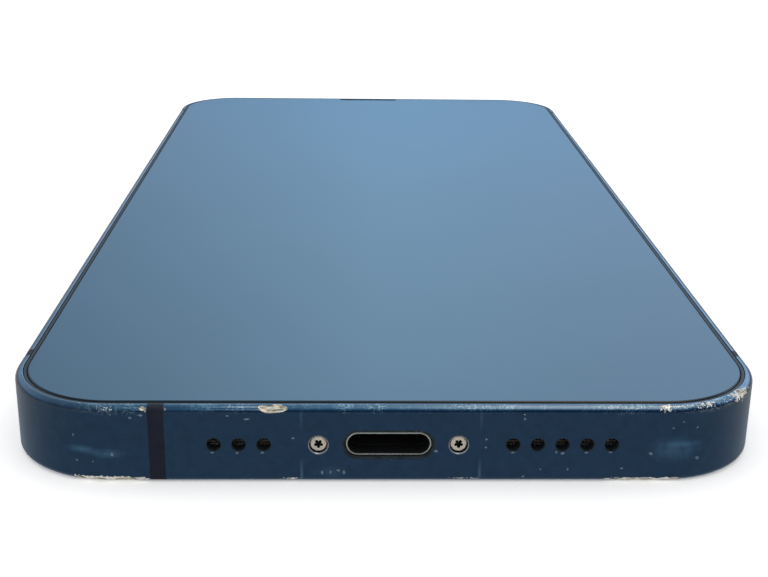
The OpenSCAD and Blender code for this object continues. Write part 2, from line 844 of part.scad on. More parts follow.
module board_plan() {
    difference() {
        union() {
            translate([board_x0, board_y0]) square([board_w, board_y1 - board_y0]);
            translate([board_x0, board_y1 - arm_l]) square([arm_x1 - board_x0, arm_l]);
        }
        for (at = board_screws) translate(at) circle(d = inner_screw_d + 0.2);
    }
}

module main_board() {
    piece("#1f4a3a") translate([0, 0, board_h]) linear_extrude(board_t) board_plan();
}

module board_shields() {
    top = board_top + 1.8;
    margin = 0.6;
    clear = 4.2;                               // left free along the board for the screws
    rows = [
        [board_y0 + clear, rod_y - 4], [tray_y1 + 2.5, board_y1 - screw_row - 2.2],
        [board_y1 - screw_row + 2.2, board_y1 - clear]
    ];
    piece("#b5b8bb") for (row = rows)
        block(board_x0 + margin, board_x1 - margin, row[0], row[1], board_top, top);
}

module inner_screws() {
    piece("#a8abae") for (at = concat(board_screws, [haptic_ear(), speaker_ear()]))
        translate([at[0], at[1], 0]) difference() {
            union() {
                translate([0, 0, board_top]) cylinder(d = inner_head_d, h = inner_head_t);
                translate([0, 0, floor_h]) cylinder(d = inner_screw_d, h = board_top - floor_h + eps);
            }
            for (turn = [0, 90])
                translate([0, 0, board_top + inner_head_t]) rotate(turn)
                    cube([1.2, 0.25, 0.4], center = true);
        }
}

// ---------- rear cameras ----------

module camera_housing(y) {
    piece("#2a2c31") difference() {
        translate([0, 0, floor_h]) linear_extrude(roof_h - floor_h - 0.3) intersection() {
            translate([camera_x, y]) square(camera_w, center = true);
            outline(band_wall + 0.3);
        }
        translate([camera_x, y, floor_h - 1]) cylinder(d = barrel_d + 0.4, h = roof_h - floor_h - 0.2);
    }
}

module camera_barrel(y) {
    piece("#0f1114") translate([camera_x, y, barrel_top]) difference() {
        cylinder(d = barrel_d, h = roof_h - barrel_top - 1.4);
        translate([0, 0, -eps]) cylinder(d1 = barrel_d - 1.2, d2 = 3, h = 1.1);
    }
}

// ---------- keys ----------

// A side key: its cap, the flange that keeps it in the band and the stem that presses the switch.
module side_key(length) {
    translate([0, 0, -key_proud]) linear_extrude(key_proud + key_skin + 0.03)
        rotate(90) stadium(length, key_h);
    translate([0, 0, key_skin + 0.02]) linear_extrude(key_flange_t)
        rotate(90) stadium(length + 2 * key_flange, key_h + 2 * key_flange);
    translate([0, 0, key_skin + 0.1]) cylinder(d = 1.4, h = key_stem_end - key_skin - 0.1);
}

module power_key() {
    piece("#23405f") at_right(power_y) side_key(power_l);
}

module volume_up_key() {
    piece("#23405f") at_left(volume_up_y) side_key(volume_l);
}

module volume_down_key() {
    piece("#23405f") at_left(volume_down_y) side_key(volume_l);
}

module mute_switch() {
    piece("#23405f") at_left(mute_y) translate([-mute_travel / 2, 0, 0]) {
        translate([0, 0, -key_proud]) linear_extrude(key_proud + key_skin + 0.03)
            square([mute_slider_h, mute_l], center = true);
        translate([0, 0, key_skin + 0.02]) linear_extrude(key_flange_t)
            square([mute_slider_h + 2 * mute_flange, mute_l + 1], center = true);
    }
}

module key_switch() {
    translate([0, 0, key_switch_top]) cylinder(d = 2, h = dome_t + eps);
}

module switch_strip(length) {
    translate([0, 0, key_switch_top + dome_t]) linear_extrude(strip_t) square([2.6, length], center = true);
}

// The dome switches on their strips, and the switch that closes the mute slider's slot from inside.
module key_switches() {
    piece("#c2a05a") {
        for (y = [volume_up_y, volume_down_y]) at_left(y) key_switch();
        at_right(power_y) key_switch();
        at_left((volume_up_y + volume_down_y) / 2) switch_strip(volume_up_y - volume_down_y + 6);
        at_right(power_y) switch_strip(power_l - 4);
        at_left(mute_y) translate([0, 0, key_skin + key_flange_t + 0.1])
            linear_extrude(1) square([mute_pocket_h - 2 * fit, mute_l + 1.4 - 2 * fit], center = true);
    }
}

// ---------- tray ----------

module sim_tray() {
    piece("#23405f") difference() {
        union() {
            at_left(tray_y) linear_extrude(tray_face_t) rotate(90) stadium(tray_l, tray_h);
            tray_block(tray_face_t - eps, tray_reach, tray_y0, tray_y1, tray_body_t);
            at_left(tray_y) translate([0, 0, tray_face_t - eps]) linear_extrude(seal_t + eps)
                rotate(90) stadium(tray_l - 0.5, tray_h - 0.3);
        }
        at_left(rod_y) translate([0, 0, -1]) cylinder(d = pin_hole_d, h = tray_face_t + seal_t + 2);
        tray_pocket(0, -0.1);
        tray_pocket(0.8, -1);
    }
}

// The card's place in the tray, moved in from the card's edge and open upwards from the given height.
module tray_pocket(inset, height) {
    x1 = -body_w / 2 + tray_reach - 1.6 - inset;
    y = (tray_y0 + tray_y1) / 2;
    block(x1 - card_l + 2 * inset, x1, y - card_w / 2 + inset, y + card_w / 2 - inset,
          mid_h + height, mid_h + 1);
}

// A flat block behind the left wall, centred on the tray's height; depths count from the outer face.
module tray_block(depth0, depth1, y0, y1, thickness) {
    block(-body_w / 2 + depth0, -body_w / 2 + depth1, y0, y1, mid_h - thickness / 2, mid_h + thickness / 2);
}

module sim_reader() {
    piece("#adb0b3") {
        difference() {
            tray_block(reader_start, reader_end, tray_y0 - reader_side, tray_y1 + reader_side, reader_h);
            tray_block(reader_start - 1, reader_end + 1, tray_y0 - 0.2, tray_y1 + 0.2,
                       reader_h - 2 * reader_wall);
        }
        block(-body_w / 2 + reader_start, -body_w / 2 + reader_end, rod_y - rod_w / 2 - 0.5,
              tray_y0 - reader_side + eps, board_top, board_top + reader_wall);
        block(-body_w / 2 + reader_end - 1, -body_w / 2 + lever_depth + 1, lever_y - 1, lever_y + 1,
              board_top, board_top + reader_wall);
        translate([-body_w / 2 + lever_depth, lever_y, board_top]) cylinder(d = lever_pin_d, h = reader_h);
    }
}

// The rod that the eject pin pushes, and the lever that turns its push round onto the tray.
module eject_rod() {
    piece("#8b8e92") tray_block(reader_start, rod_end, rod_y - rod_w / 2, rod_y + rod_w / 2, rod_t);
}

module eject_lever() {
    piece("#8b8e92") difference() {
        union() {
            tray_block(lever_depth - lever_w / 2, lever_depth + lever_w / 2,
                       rod_y - rod_w / 2, lever_y + lever_tail, rod_t);
            translate([-body_w / 2 + lever_depth, lever_y, mid_h - rod_t / 2]) cylinder(d = 2, h = rod_t);
        }
        translate([-body_w / 2 + lever_depth, lever_y, 0]) cylinder(d = lever_pin_d + 0.1, h = body_t);
    }
}

band_left();
band_right();
band_bottom();
band_bottom_corner();
band_top();
band_top_corner();
antenna_break_bottom();
antenna_break_top();
antenna_breaks_left();
antenna_breaks_right();
mid_plate();
rear_glass();
camera_plateau();
lens_ring(camera_main_y);  // lens_ring_main
lens_ring(camera_wide_y);  // lens_ring_wide
lens_window(camera_main_y);  // lens_window_main
lens_window(camera_wide_y);  // lens_window_wide
flash_window();
cover_glass();
display_frame();
display_gasket();
display_panel();
display_shield();
display_flex();
earpiece_mesh();
earpiece_speaker();
front_camera();
face_sensors();
bottom_screws();
port_liner();
port_receptacle();
port_contacts();
port_flex();
microphone_mesh();
speaker_mesh();
microphone();
speaker_box();
speaker_cone();
haptic_case();
haptic_mass();
haptic_springs();
battery();
charging_coil();
magnet_ring();
main_board();
board_shields();
inner_screws();
camera_housing(camera_main_y);  // camera_housing_main
camera_housing(camera_wide_y);  // camera_housing_wide
camera_barrel(camera_main_y);  // camera_barrel_main
camera_barrel(camera_wide_y);  // camera_barrel_wide
power_key();
volume_up_key();
volume_down_key();
mute_switch();
key_switches();
sim_tray();
sim_reader();
eject_rod();
eject_lever();
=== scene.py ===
import math

import bmesh
import bpy
from mathutils import Matrix, Vector, noise


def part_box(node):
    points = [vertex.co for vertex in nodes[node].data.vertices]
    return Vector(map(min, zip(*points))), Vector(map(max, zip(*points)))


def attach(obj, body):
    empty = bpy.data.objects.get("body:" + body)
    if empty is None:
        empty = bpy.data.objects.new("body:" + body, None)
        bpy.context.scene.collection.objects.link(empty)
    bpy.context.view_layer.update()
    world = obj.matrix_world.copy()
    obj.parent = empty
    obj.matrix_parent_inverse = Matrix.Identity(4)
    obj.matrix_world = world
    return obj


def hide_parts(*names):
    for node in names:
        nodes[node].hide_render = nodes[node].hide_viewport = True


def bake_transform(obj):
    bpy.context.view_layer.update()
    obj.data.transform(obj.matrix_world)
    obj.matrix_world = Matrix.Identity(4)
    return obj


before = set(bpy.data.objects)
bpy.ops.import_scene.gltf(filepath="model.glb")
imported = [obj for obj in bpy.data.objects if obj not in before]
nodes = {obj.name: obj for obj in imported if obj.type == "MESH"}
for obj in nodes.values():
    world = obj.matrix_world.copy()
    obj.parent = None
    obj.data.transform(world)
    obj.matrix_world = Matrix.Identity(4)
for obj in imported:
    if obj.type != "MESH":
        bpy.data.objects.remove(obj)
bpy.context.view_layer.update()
scene = bpy.context.scene
mm = 0.001


def boxOf(name):
    # a CAD node's corners in millimetres
    low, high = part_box(name)
    return low / mm, high / mm


def middleOf(name):
    low, high = boxOf(name)
    return (low + high) / 2


def slotOf(node):
    # the name that its material has in the frame
    return node.data.materials[0].name.split(".")[0]


low, high = boxOf("band_bottom")
halfLength = -low.y
halfWidth = high.x
bandLow, bandHigh = low.z, high.z
midHeight = (bandLow + bandHigh) / 2


# camera
view = {
    "place": (-3.71, -176.347, 56.965),
    "pitch": 19.421,
    "yaw": 1.715,
    "roll": 0.787,
    "lens": 58.83,
}


def placeCamera():
    pitch, yaw, roll = (math.radians(view[turn]) for turn in ("pitch", "yaw", "roll"))
    ahead = Vector((math.sin(yaw) * math.cos(pitch), math.cos(yaw) * math.cos(pitch), -math.sin(pitch)))
    right = Vector((math.cos(yaw), -math.sin(yaw), 0))
    up = right.cross(ahead)
    across = right * math.cos(roll) + up * math.sin(roll)
    upright = up * math.cos(roll) - right * math.sin(roll)
    data = bpy.data.cameras.new("camera")
    data.lens = view["lens"]
    data.sensor_width = 36
    data.sensor_fit = "HORIZONTAL"
    data.clip_start = 0.005
    data.clip_end = 50
    camera = bpy.data.objects.new("camera", data)
    turned = Matrix((across, upright, -ahead)).transposed().to_4x4()
    camera.matrix_world = Matrix.Translation(Vector(view["place"]) * mm) @ turned
    scene.collection.objects.link(camera)
    scene.camera = camera


placeCamera()
scene.view_settings.view_transform = "Standard"


# shader nodes
def add(tree, kind, inputs=None, **settings):
    made = tree.nodes.new("ShaderNode" + kind)
    for key, value in settings.items():
        setattr(made, key, value)
    for key, value in (inputs or {}).items():
        if isinstance(value, bpy.types.NodeSocket):
            tree.links.new(value, made.inputs[key])
        else:
            made.inputs[key].default_value = value
    return made


def sums(tree, operation, first, second=0.0, third=0.0, clamp=False):
    inputs = {0: first, 1: second}
    if operation == "MULTIPLY_ADD":
        inputs[2] = third
    return add(tree, "Math", inputs, operation=operation, use_clamp=clamp).outputs[0]


def times(tree, first, second, plus=None, clamp=False):
    # first by second, with plus added where it is given
    if plus is None:
        return sums(tree, "MULTIPLY", first, second, clamp=clamp)
    return sums(tree, "MULTIPLY_ADD", first, second, plus, clamp)


def apart(tree, first, second):
    return sums(tree, "ABSOLUTE", sums(tree, "SUBTRACT", first, second))


def mapped(tree, where, **settings):
    return add(tree, "Mapping", {"Vector": where, **settings}).outputs["Vector"]


def dial(shader, values):
    # what is the same all over a surface is set on the shader's own sockets
    for name, value in values.items():
        shader.inputs[name].default_value = value


def blend(tree, factor, first, second, way="MIX"):
    made = add(tree, "Mix", {0: factor, 6: first, 7: second}, data_type="RGBA", blend_type=way)
    return made.outputs[2]


def shade(colour):
    return (*colour, 1.0)


def ramp(tree, factor, stops):
    made = add(tree, "ValToRGB", {"Fac": factor})
    elements = made.color_ramp.elements
    while len(elements) < len(stops):
        elements.new(0.5)
    for element, (place, colour) in zip(elements, stops):
        element.position = place
        element.color = shade(colour)
    return made.outputs["Color"]


def span(tree, value, low, high, toLow=0.0, toHigh=1.0):
    inputs = {"Value": value, "From Min": low, "From Max": high, "To Min": toLow, "To Max": toHigh}
    return add(tree, "MapRange", inputs, clamp=True).outputs["Result"]


def cloud(tree, where, scale, detail=3.0, rough=0.55):
    made = add(tree, "TexNoise", {"Vector": where, "Scale": scale, "Detail": detail, "Roughness": rough})
    return made.outputs["Fac"]


def startMaterial(name):
    material = bpy.data.materials.new(name)
    material.use_nodes = True
    tree = material.node_tree
    shader = tree.nodes["Principled BSDF"]
    where = add(tree, "TexCoord").outputs["Object"]
    # object coordinates are metres, so patterns are read in millimetres
    where = mapped(tree, where, Scale=(1 / mm, 1 / mm, 1 / mm))
    return material, tree, shader, where


def edgeOf(tree, width):
    # 0 on flats and up to 1 along edges, from how far a rounded normal leans from the true one
    rounded = add(tree, "Bevel", {"Radius": width * mm}, samples=6).outputs["Normal"]
    true = add(tree, "NewGeometry").outputs["True Normal"]
    lean = add(tree, "VectorMath", {0: rounded, 1: true}, operation="DOT_PRODUCT").outputs["Value"]
    return span(tree, lean, 1.0, 0.86)      # full at about 30 degrees


def finish(tree, shader, colour, roughness, height, bump, depth):
    tree.links.new(colour, shader.inputs["Base Color"])
    tree.links.new(roughness, shader.inputs["Roughness"])
    lifted = add(tree, "Bump", {"Height": height, "Strength": bump, "Distance": depth * mm})
    tree.links.new(lifted.outputs["Normal"], shader.inputs["Normal"])


def surface(name, look):
    material, tree, shader, where = startMaterial(name)
    drawn = mapped(tree, where, Scale=look.get("brush", (1, 1, 1)))
    mottle = cloud(tree, where, look["mottle"], 4)
    grain = cloud(tree, drawn, look["grain"], 3, 0.6)
    colour = ramp(tree, mottle, [(0.32, look["colour"]), (0.68, look["tone"])])
    roughness = span(tree, grain, 0.25, 0.75, *look["rough"])
    if "edge" in look:
        worn = times(tree, edgeOf(tree, look.get("edgeWidth", 0.05)), span(tree, mottle, 0.3, 0.6))
        colour = blend(tree, worn, colour, shade(look["edge"]))
    finish(tree, shader, colour, roughness, grain, look.get("bump", 0.1), look.get("depth", 0.01))
    dial(shader, {
        "Metallic": look.get("metal", 0.0),
        "Coat Weight": look.get("coat", 0.0),
        "Coat Roughness": look.get("coatRough", 0.05),
        "Specular IOR Level": look.get("specular", 0.5),
    })
    return material


# floor and light
floor = {
    "size": 4.0,               # metres; the rest is in millimetres
    "front": (-72.55, 1.7),    # y, z: the port end's lower edge rests here
    "back": (42.25, 0.0),      # and the lens rings here
    "beside": (38, 75),        # how far out the mirrored colour changes
    "colour": (0.93, 0.93, 0.93),
    "fade": 0.985,
    "mirrored": (0.212, 0.252, 0.295),
    "mirroredBeside": (0.36, 0.31, 0.26),
    "glow": 0.23,
}


def inGloss(tree, plain, glossy, output):
    # one shader for the eye and for soft light, another for what gloss mirrors
    path = add(tree, "LightPath").outputs["Is Glossy Ray"]
    mixed = add(tree, "MixShader", {0: path, 1: plain.outputs[0], 2: glossy.outputs[0]})
    tree.links.new(mixed.outputs[0], output.inputs["Surface"])


def layFloor():
    material, tree, shader, where = startMaterial("paleFloor")
    mottle = cloud(tree, where, 0.02, 3)
    pale = [channel * floor["fade"] for channel in floor["colour"]]
    tree.links.new(ramp(tree, mottle, [(0.3, pale), (0.7, floor["colour"])]), shader.inputs["Base Color"])
    dial(shader, {"Roughness": 0.9, "Specular IOR Level": 0.1, "Emission Color": (1, 1, 1, 1),
                  "Emission Strength": floor["glow"]})
    # mirrored in the metal the floor is dimmer, as a table in the shade of the object's own end
    across = add(tree, "SeparateXYZ", {0: where}).outputs["X"]
    beside = span(tree, sums(tree, "ABSOLUTE", across), *floor["beside"])
    dim = blend(tree, beside, shade(floor["mirrored"]), shade(floor["mirroredBeside"]))
    dim = add(tree, "Emission", {"Color": dim})
    inGloss(tree, shader, dim, tree.nodes["Material Output"])
    bm = bmesh.new()
    bmesh.ops.create_grid(bm, x_segments=1, y_segments=1, size=floor["size"] / 2)
    (y0, z0), (y1, z1) = floor["front"], floor["back"]
    lean = math.atan2(z1 - z0, y1 - y0)
    bmesh.ops.rotate(bm, verts=bm.verts, cent=(0, 0, 0), matrix=Matrix.Rotation(lean, 3, "X"))
    bmesh.ops.translate(bm, verts=bm.verts, vec=(0, y0 * mm, z0 * mm))
    mesh = bpy.data.meshes.new("floor")
    bm.to_mesh(mesh)
    bm.free()
    mesh.materials.append(material)
    made = bpy.data.objects.new("floor", mesh)
    scene.collection.objects.link(made)


studio = {
    "white": 1.12,
    "gain": 2.0,
    # what gloss sees of the room, by height: beyond the top end and before the port end
    "beyond": [(0.0, (0.02, 0.04, 0.07)), (0.15, (0.08, 0.14, 0.20)), (0.188, (0.245, 0.42, 0.63)),
               (0.42, (0.53, 0.79, 1.0)), (0.70, (0.33, 0.45, 0.52)), (1.0, (0.20, 0.34, 0.42))],
    "before": [(0.0, (0.01, 0.02, 0.05)), (0.30, (0.01, 0.04, 0.08)), (0.55, (0.06, 0.13, 0.18)),
               (0.82, (0.10, 0.26, 0.36)), (1.0, (0.15, 0.32, 0.42))],
    # a long softbox overhead and to the right, by how far across
    "softbox": (1.90, 1.66, 1.34),
    "across": [(0.0, 0.0), (0.14, 0.04), (0.26, 0.22), (0.36, 0.68), (0.43, 1.0), (0.54, 0.64),
               (0.64, 0.64), (0.76, 0.9), (1.0, 0.4)],
    "leftWall": (0.125, 0.135, 0.150),
    "rightTint": (0.98, 0.90, 0.91),
}


def lightRoom():
    world = bpy.data.worlds.new("studio")
    scene.world = world
    world.use_nodes = True
    tree = world.node_tree
    tree.nodes.clear()
    aim = add(tree, "TexCoord").outputs["Generated"]
    parts = add(tree, "SeparateXYZ", {0: aim})
    x, y, z = (parts.outputs[axis] for axis in "XYZ")
    side = span(tree, y, -0.35, 0.35)
    sky = blend(tree, side, ramp(tree, z, studio["before"]), ramp(tree, z, studio["beyond"]))
    levels = [(place, (level, level, level)) for place, level in studio["across"]]
    box = ramp(tree, span(tree, x, -0.1, 0.5), levels)
    overhead = times(tree, span(tree, z, 0.70, 0.95), box)
    sky = blend(tree, overhead, sky, shade(studio["softbox"]))
    sky = blend(tree, span(tree, x, -0.30, 0.02, 0.66, 0.0), sky, shade(studio["leftWall"]))
    sky = blend(tree, span(tree, x, 0.06, 0.24), sky, shade(studio["rightTint"]), "MULTIPLY")
    gloss = add(tree, "Background", {"Color": sky, "Strength": studio["gain"]})
    soft = add(tree, "Background", {"Color": (1, 1, 1, 1), "Strength": studio["white"]})
    inGloss(tree, soft, gloss, add(tree, "OutputWorld"))


layFloor()
lightRoom()
print("camera, floor and light ready")


# finishes
anodised = {
    "colour": (0.032, 0.098, 0.190),
    "tone": (0.022, 0.072, 0.145),
    "bare": (0.80, 0.76, 0.67),
    "smudge": (0.13, 0.30, 0.45),
    "hairline": (0.22, 0.42, 0.56),
    "scratch": (0.42, 0.56, 0.64),
    "chip": (0.48, 0.60, 0.66),
    # the curves' pale tint: polish from handling and a painted highlight
    "polished": (0.075, 0.135, 0.185),
    "hairs": (0.22, 8.16),     # their middle, and how far each stands from it
    # spots: where, how far they reach, and how strongly
    "smudges": [
        ((26.8, -73.2, 5.55), (2.3, 2.0, 0.42), 1.0),
        ((26.3, -73.2, 5.0), (3.0, 2.0, 1.5), 0.7),
        ((-28.0, -73.1, 4.95), (1.9, 2.5, 0.50), 1.0),
        ((-25.6, -73.3, 4.65), (1.9, 2.5, 0.55), 1.0),
        ((-5.2, -73.35, 2.8), (1.6, 1.5, 0.7), 0.5),
    ],
    "worn": [
        ((-25.6, -73.1, 1.95), (5.0, 1.5, 0.62), 0.66),
        ((23.6, -73.1, 1.95), (5.2, 1.5, 0.36), 0.50),
        ((-8.9, -73.3, 2.1), (1.6, 1.5, 0.3), 0.24),
        ((7.1, -73.3, 2.1), (3.4, 1.5, 0.3), 0.22),
        ((-25.5, -72.8, 8.9), (3.4, 2.0, 0.8), 0.17),
        ((25.3, -72.8, 9.1), (1.7, 1.6, 0.7), 0.19),
        ((28.6, -72.2, 9.2), (6.0, 2.4, 0.9), 0.13),
        ((29.3, -72.0, 9.1), (1.6, 1.6, 0.8), 0.08),
        ((32.7, -69.6, 9.0), (3.0, 3.0, 1.6), 0.28),
        ((12.3, -73.3, 8.6), (0.5, 0.6, 0.3), 0.25),
    ],
    # patches of fine looping scratches along the upper edge
    "scrawled": [
        ((-16.6, -73.0, 9.25), (1.3, 1.2, 0.75), 1.0),
        ((-13.6, -73.1, 9.1), (1.6, 1.0, 0.6), 0.8),
        ((-4.0, -73.0, 9.25), (1.0, 1.2, 0.75), 1.6),
        ((-1.0, -73.0, 9.25), (1.0, 1.2, 0.75), 1.6),
        ((-25.0, -73.0, 9.2), (4.2, 2.0, 0.9), 1.0),
        ((8.5, -73.0, 9.2), (4.5, 1.2, 0.7), 0.6),
        ((21.5, -73.0, 9.2), (3.5, 1.2, 0.8), 0.8),
        ((29.5, -71.5, 9.3), (5.0, 3.0, 1.0), 1.3),
    ],
    # small chips on the flat end: across, height, half width, half height
    "chips": [
        (-28.6, 6.30, 0.16, 0.22), (-25.1, 4.55, 0.14, 0.24), (-28.4, 3.80, 0.18, 0.12),
        (-26.9, 3.80, 0.10, 0.10), (-22.4, 8.45, 0.34, 0.12), (-23.3, 8.20, 0.20, 0.12),
        (-12.9, 8.10, 0.36, 0.14), (-14.6, 8.40, 0.20, 0.12), (-16.05, 4.74, 0.24, 0.12),
        (-13.80, 4.72, 0.18, 0.12), (-11.50, 4.74, 0.20, 0.12), (-8.75, 6.20, 0.12, 0.12),
        (-6.05, 2.70, 0.10, 0.26), (-5.30, 2.75, 0.10, 0.22), (-4.60, 2.95, 0.12, 0.16),
        (-4.05, 2.75, 0.12, 0.26), (0.30, 4.15, 0.13, 0.12), (8.90, 6.10, 0.13, 0.14),
        (8.90, 5.30, 0.11, 0.12), (12.30, 8.15, 0.13, 0.13), (11.40, 4.74, 0.22, 0.10),
        (15.35, 4.80, 0.15, 0.14), (15.95, 4.68, 0.20, 0.12), (18.15, 4.76, 0.20, 0.12),
        (20.35, 4.80, 0.22, 0.10), (12.40, 2.30, 0.12, 0.13), (24.10, 4.65, 0.20, 0.15),
        (21.50, 3.15, 0.13, 0.12), (28.60, 4.00, 0.34, 0.24), (26.00, 7.20, 0.14, 0.10),
        (26.90, 7.80, 0.12, 0.12), (28.30, 7.15, 0.12, 0.14), (14.00, 3.05, 0.12, 0.10),
        (16.50, 3.05, 0.12, 0.10), (4.30, 4.90, 0.30, 0.10),
    ],
}


def spotMask(tree, where, at, reach):
    # a soft blob: 1 at its middle and 0 at its reach
    place = [-centre / size for centre, size in zip(at, reach)]
    centred = mapped(tree, where, Location=place, Scale=[1 / size for size in reach])
    return add(tree, "TexGradient", {"Vector": centred}, gradient_type="SPHERICAL").outputs["Fac"]


def anodisedMetal():
    material, tree, shader, where = startMaterial("anodisedBlue")
    mottle = cloud(tree, where, 0.9, 5, 0.62)
    fine = cloud(tree, where, 14, 3, 0.6)
    grit = cloud(tree, where, 30, 2, 0.7)
    colour = ramp(tree, mottle, [(0.30, anodised["tone"]), (0.70, anodised["colour"])])
    for at, reach, amount in anodised["smudges"]:
        veil = times(tree, spotMask(tree, where, at, reach), amount)
        veil = times(tree, veil, span(tree, mottle, 0.35, 0.6, 0.45, 1.0))
        colour = blend(tree, veil, colour, shade(anodised["smudge"]))
    # two hairlines on the flat end, beyond the end screws, strongest low down
    parts = add(tree, "SeparateXYZ", {0: where}).outputs
    middle, out = anodised["hairs"]
    beside = apart(tree, apart(tree, parts["X"], middle), out)
    hair = times(tree, span(tree, beside, 0.19, 0.06), span(tree, parts["Y"], -73.2, -73.3))
    below = span(tree, parts["Z"], 4.3, 2.8, 0.0, 0.42)
    above = span(tree, parts["Z"], 6.6, 8.2, 0.0, 0.20)
    hair = times(tree, hair, sums(tree, "MAXIMUM", below, above))
    colour = blend(tree, hair, colour, shade(anodised["hairline"]))
    # fine looping scratches, and chips with uneven outlines
    jumble = add(tree, "TexNoise", {"Vector": where, "Scale": 3.0, "Detail": 3}).outputs["Color"]
    jumble = add(tree, "VectorMath", {0: jumble, 1: (0.5, 0.5, 0.5)}, operation="SUBTRACT").outputs["Vector"]
    inputs = {0: jumble, 1: (0.36, 0.0, 0.36), 2: where}
    ragged = add(tree, "VectorMath", inputs, operation="MULTIPLY_ADD").outputs["Vector"]
    drift = cloud(tree, where, 2.2, 4, 0.6)
    scribble = span(tree, apart(tree, drift, 0.5), 0.030, 0.008)
    gate = span(tree, cloud(tree, where, 0.75, 3), 0.50, 0.60, 0.0, 0.35)
    brink = span(tree, sums(tree, "SUBTRACT", parts["Z"], midHeight), 3.0, 3.45, 0.0, 1.0)
    gate = times(tree, gate, brink)
    for at, reach, amount in anodised["scrawled"]:
        patch = span(tree, spotMask(tree, ragged, at, reach), 0.0, 0.5)
        gate = times(tree, patch, amount * 0.7, gate)
    colour = blend(tree, times(tree, scribble, gate, clamp=True), colour, shade(anodised["scratch"]))
    chips = 0.0
    for x, z, wide, tall in anodised["chips"]:
        chip = spotMask(tree, ragged, (x, -halfLength, z), (wide * 1.15, 1.0, tall * 1.15))
        chips = sums(tree, "MAXIMUM", chips, chip)
    chips = span(tree, chips, 0.20, 0.55, 0.0, 0.9)
    colour = blend(tree, chips, colour, shade(anodised["chip"]))
    # the curved edges: their normals lean between sideways and up or down
    normal = add(tree, "SeparateXYZ", {0: add(tree, "NewGeometry").outputs["Normal"]}).outputs["Z"]
    upright = sums(tree, "ABSOLUTE", normal)
    curve = times(tree, span(tree, upright, 0.05, 0.35), span(tree, upright, 0.995, 0.9))
    # wear: fine specks everywhere along the curves, and more where the end has been knocked
    speck = cloud(tree, where, 2.6, 7, 0.78)
    level = times(tree, curve, 0.055, speck)
    for at, reach, amount in anodised["worn"]:
        level = times(tree, spotMask(tree, ragged, at, reach), amount, level)
    bare = span(tree, level, 0.735, 0.765)
    # polished by handling and with a painted highlight, the curves are paler and less blue than the flats,
    # the more so the further they face up or down
    pale = span(tree, upright, 0.30, 0.75, 0.0, 0.35)
    pale = times(tree, pale, curve)
    colour = blend(tree, pale, colour, shade(anodised["polished"]))
    colour = blend(tree, bare, colour, shade(anodised["bare"]))
    satin = span(tree, fine, 0.3, 0.7, 0.30, 0.38)
    roughness = times(tree, curve, -0.19, satin)
    roughness = times(tree, bare, 0.15, roughness)
    height = times(tree, bare, -1.2, grit)
    finish(tree, shader, colour, roughness, height, 0.18, 0.02)
    tree.links.new(span(tree, bare, 0, 1, 1.0, 0.35), shader.inputs["Metallic"])
    tree.links.new(span(tree, bare, 0, 1, 1.0, 0.0), shader.inputs["Coat Weight"])
    dial(shader, {"Coat Roughness": 0.16})
    return material


def bareMetal():
    # streaks run along the gouges
    material, tree, shader, where = startMaterial("bareAluminium")
    gouged = mapped(tree, where, Scale=(0.8, 4.0, 4.0), Rotation=(0, 0.5, 0))
    streak = cloud(tree, gouged, 1.1, 6, 0.65)
    stops = [(0.36, (0.12, 0.10, 0.08)), (0.46, (0.42, 0.37, 0.29)), (0.60, (0.78, 0.73, 0.60))]
    colour = ramp(tree, streak, stops)
    finish(tree, shader, colour, span(tree, streak, 0.3, 0.7, 0.28, 0.5), streak, 0.7, 0.06)
    dial(shader, {"Metallic": 0.45})
    return material


blueMetal = anodisedMetal()
chippedMetal = bareMetal()

breakPlastic = surface("antennaPlastic", {
    "colour": (0.0052, 0.0062, 0.0165), "tone": (0.0072, 0.0084, 0.0205), "mottle": 1.6,
    "grain": 22, "rough": (0.42, 0.55), "bump": 0.12, "depth": 0.02, "specular": 0.3,
    "edge": (0.03, 0.035, 0.04), "edgeWidth": 0.12,
})


def glass(name, look):
    # a wide smear in the colour and a finer haze in the gloss
    material, tree, shader, where = startMaterial(name)
    smear = cloud(tree, where, *look["smear"])
    haze = cloud(tree, where, *look["haze"])
    low, high = look["stops"]
    colour = ramp(tree, smear, [(low, look["colour"]), (high, look["tone"])])
    roughness = span(tree, haze, 0.3, look["clear"], *look["rough"])
    finish(tree, shader, colour, roughness, haze, look["bump"], 0.01)
    dial(shader, look.get("dials", {}))
    return material


# dark screen glass whose navy colour is in part a painted reflection of bluish light
screenPaintedReflection = glass("screenGlassReflectionTint", {
    "colour": (0.0050, 0.040, 0.088), "tone": (0.0075, 0.050, 0.106), "stops": (0.25, 0.75),
    "smear": (0.035, 4, 0.6), "haze": (1.4, 6, 0.65), "clear": 0.75, "rough": (0.03, 0.09), "bump": 0.01,
    "dials": {"IOR": 1.5},
})
backPane = glass("backGlass", {
    "colour": (0.010, 0.040, 0.088), "tone": (0.014, 0.052, 0.110), "stops": (0.25, 0.75),
    "smear": (0.05, 4, 0.6), "haze": (1.1, 6, 0.65), "clear": 0.75, "rough": (0.05, 0.12), "bump": 0.01,
    "dials": {"Coat Weight": 0.6, "Coat Roughness": 0.03},
})
plateauPane = glass("satinGlass", {
    "colour": (0.016, 0.052, 0.105), "tone": (0.021, 0.064, 0.126), "stops": (0.25, 0.75),
    "smear": (0.08, 4, 0.6), "haze": (24, 3, 0.6), "clear": 0.7, "rough": (0.30, 0.42), "bump": 0.08,
})
lensPane = glass("lensGlass", {
    "colour": (0.90, 0.93, 0.97), "tone": (0.97, 0.98, 1.0), "stops": (0.3, 0.7),
    "smear": (1.4, 5, 0.6), "haze": (1.4, 5, 0.6), "clear": 0.8, "rough": (0.0, 0.03), "bump": 0.004,
    "dials": {"Transmission Weight": 1.0, "IOR": 1.5},
})
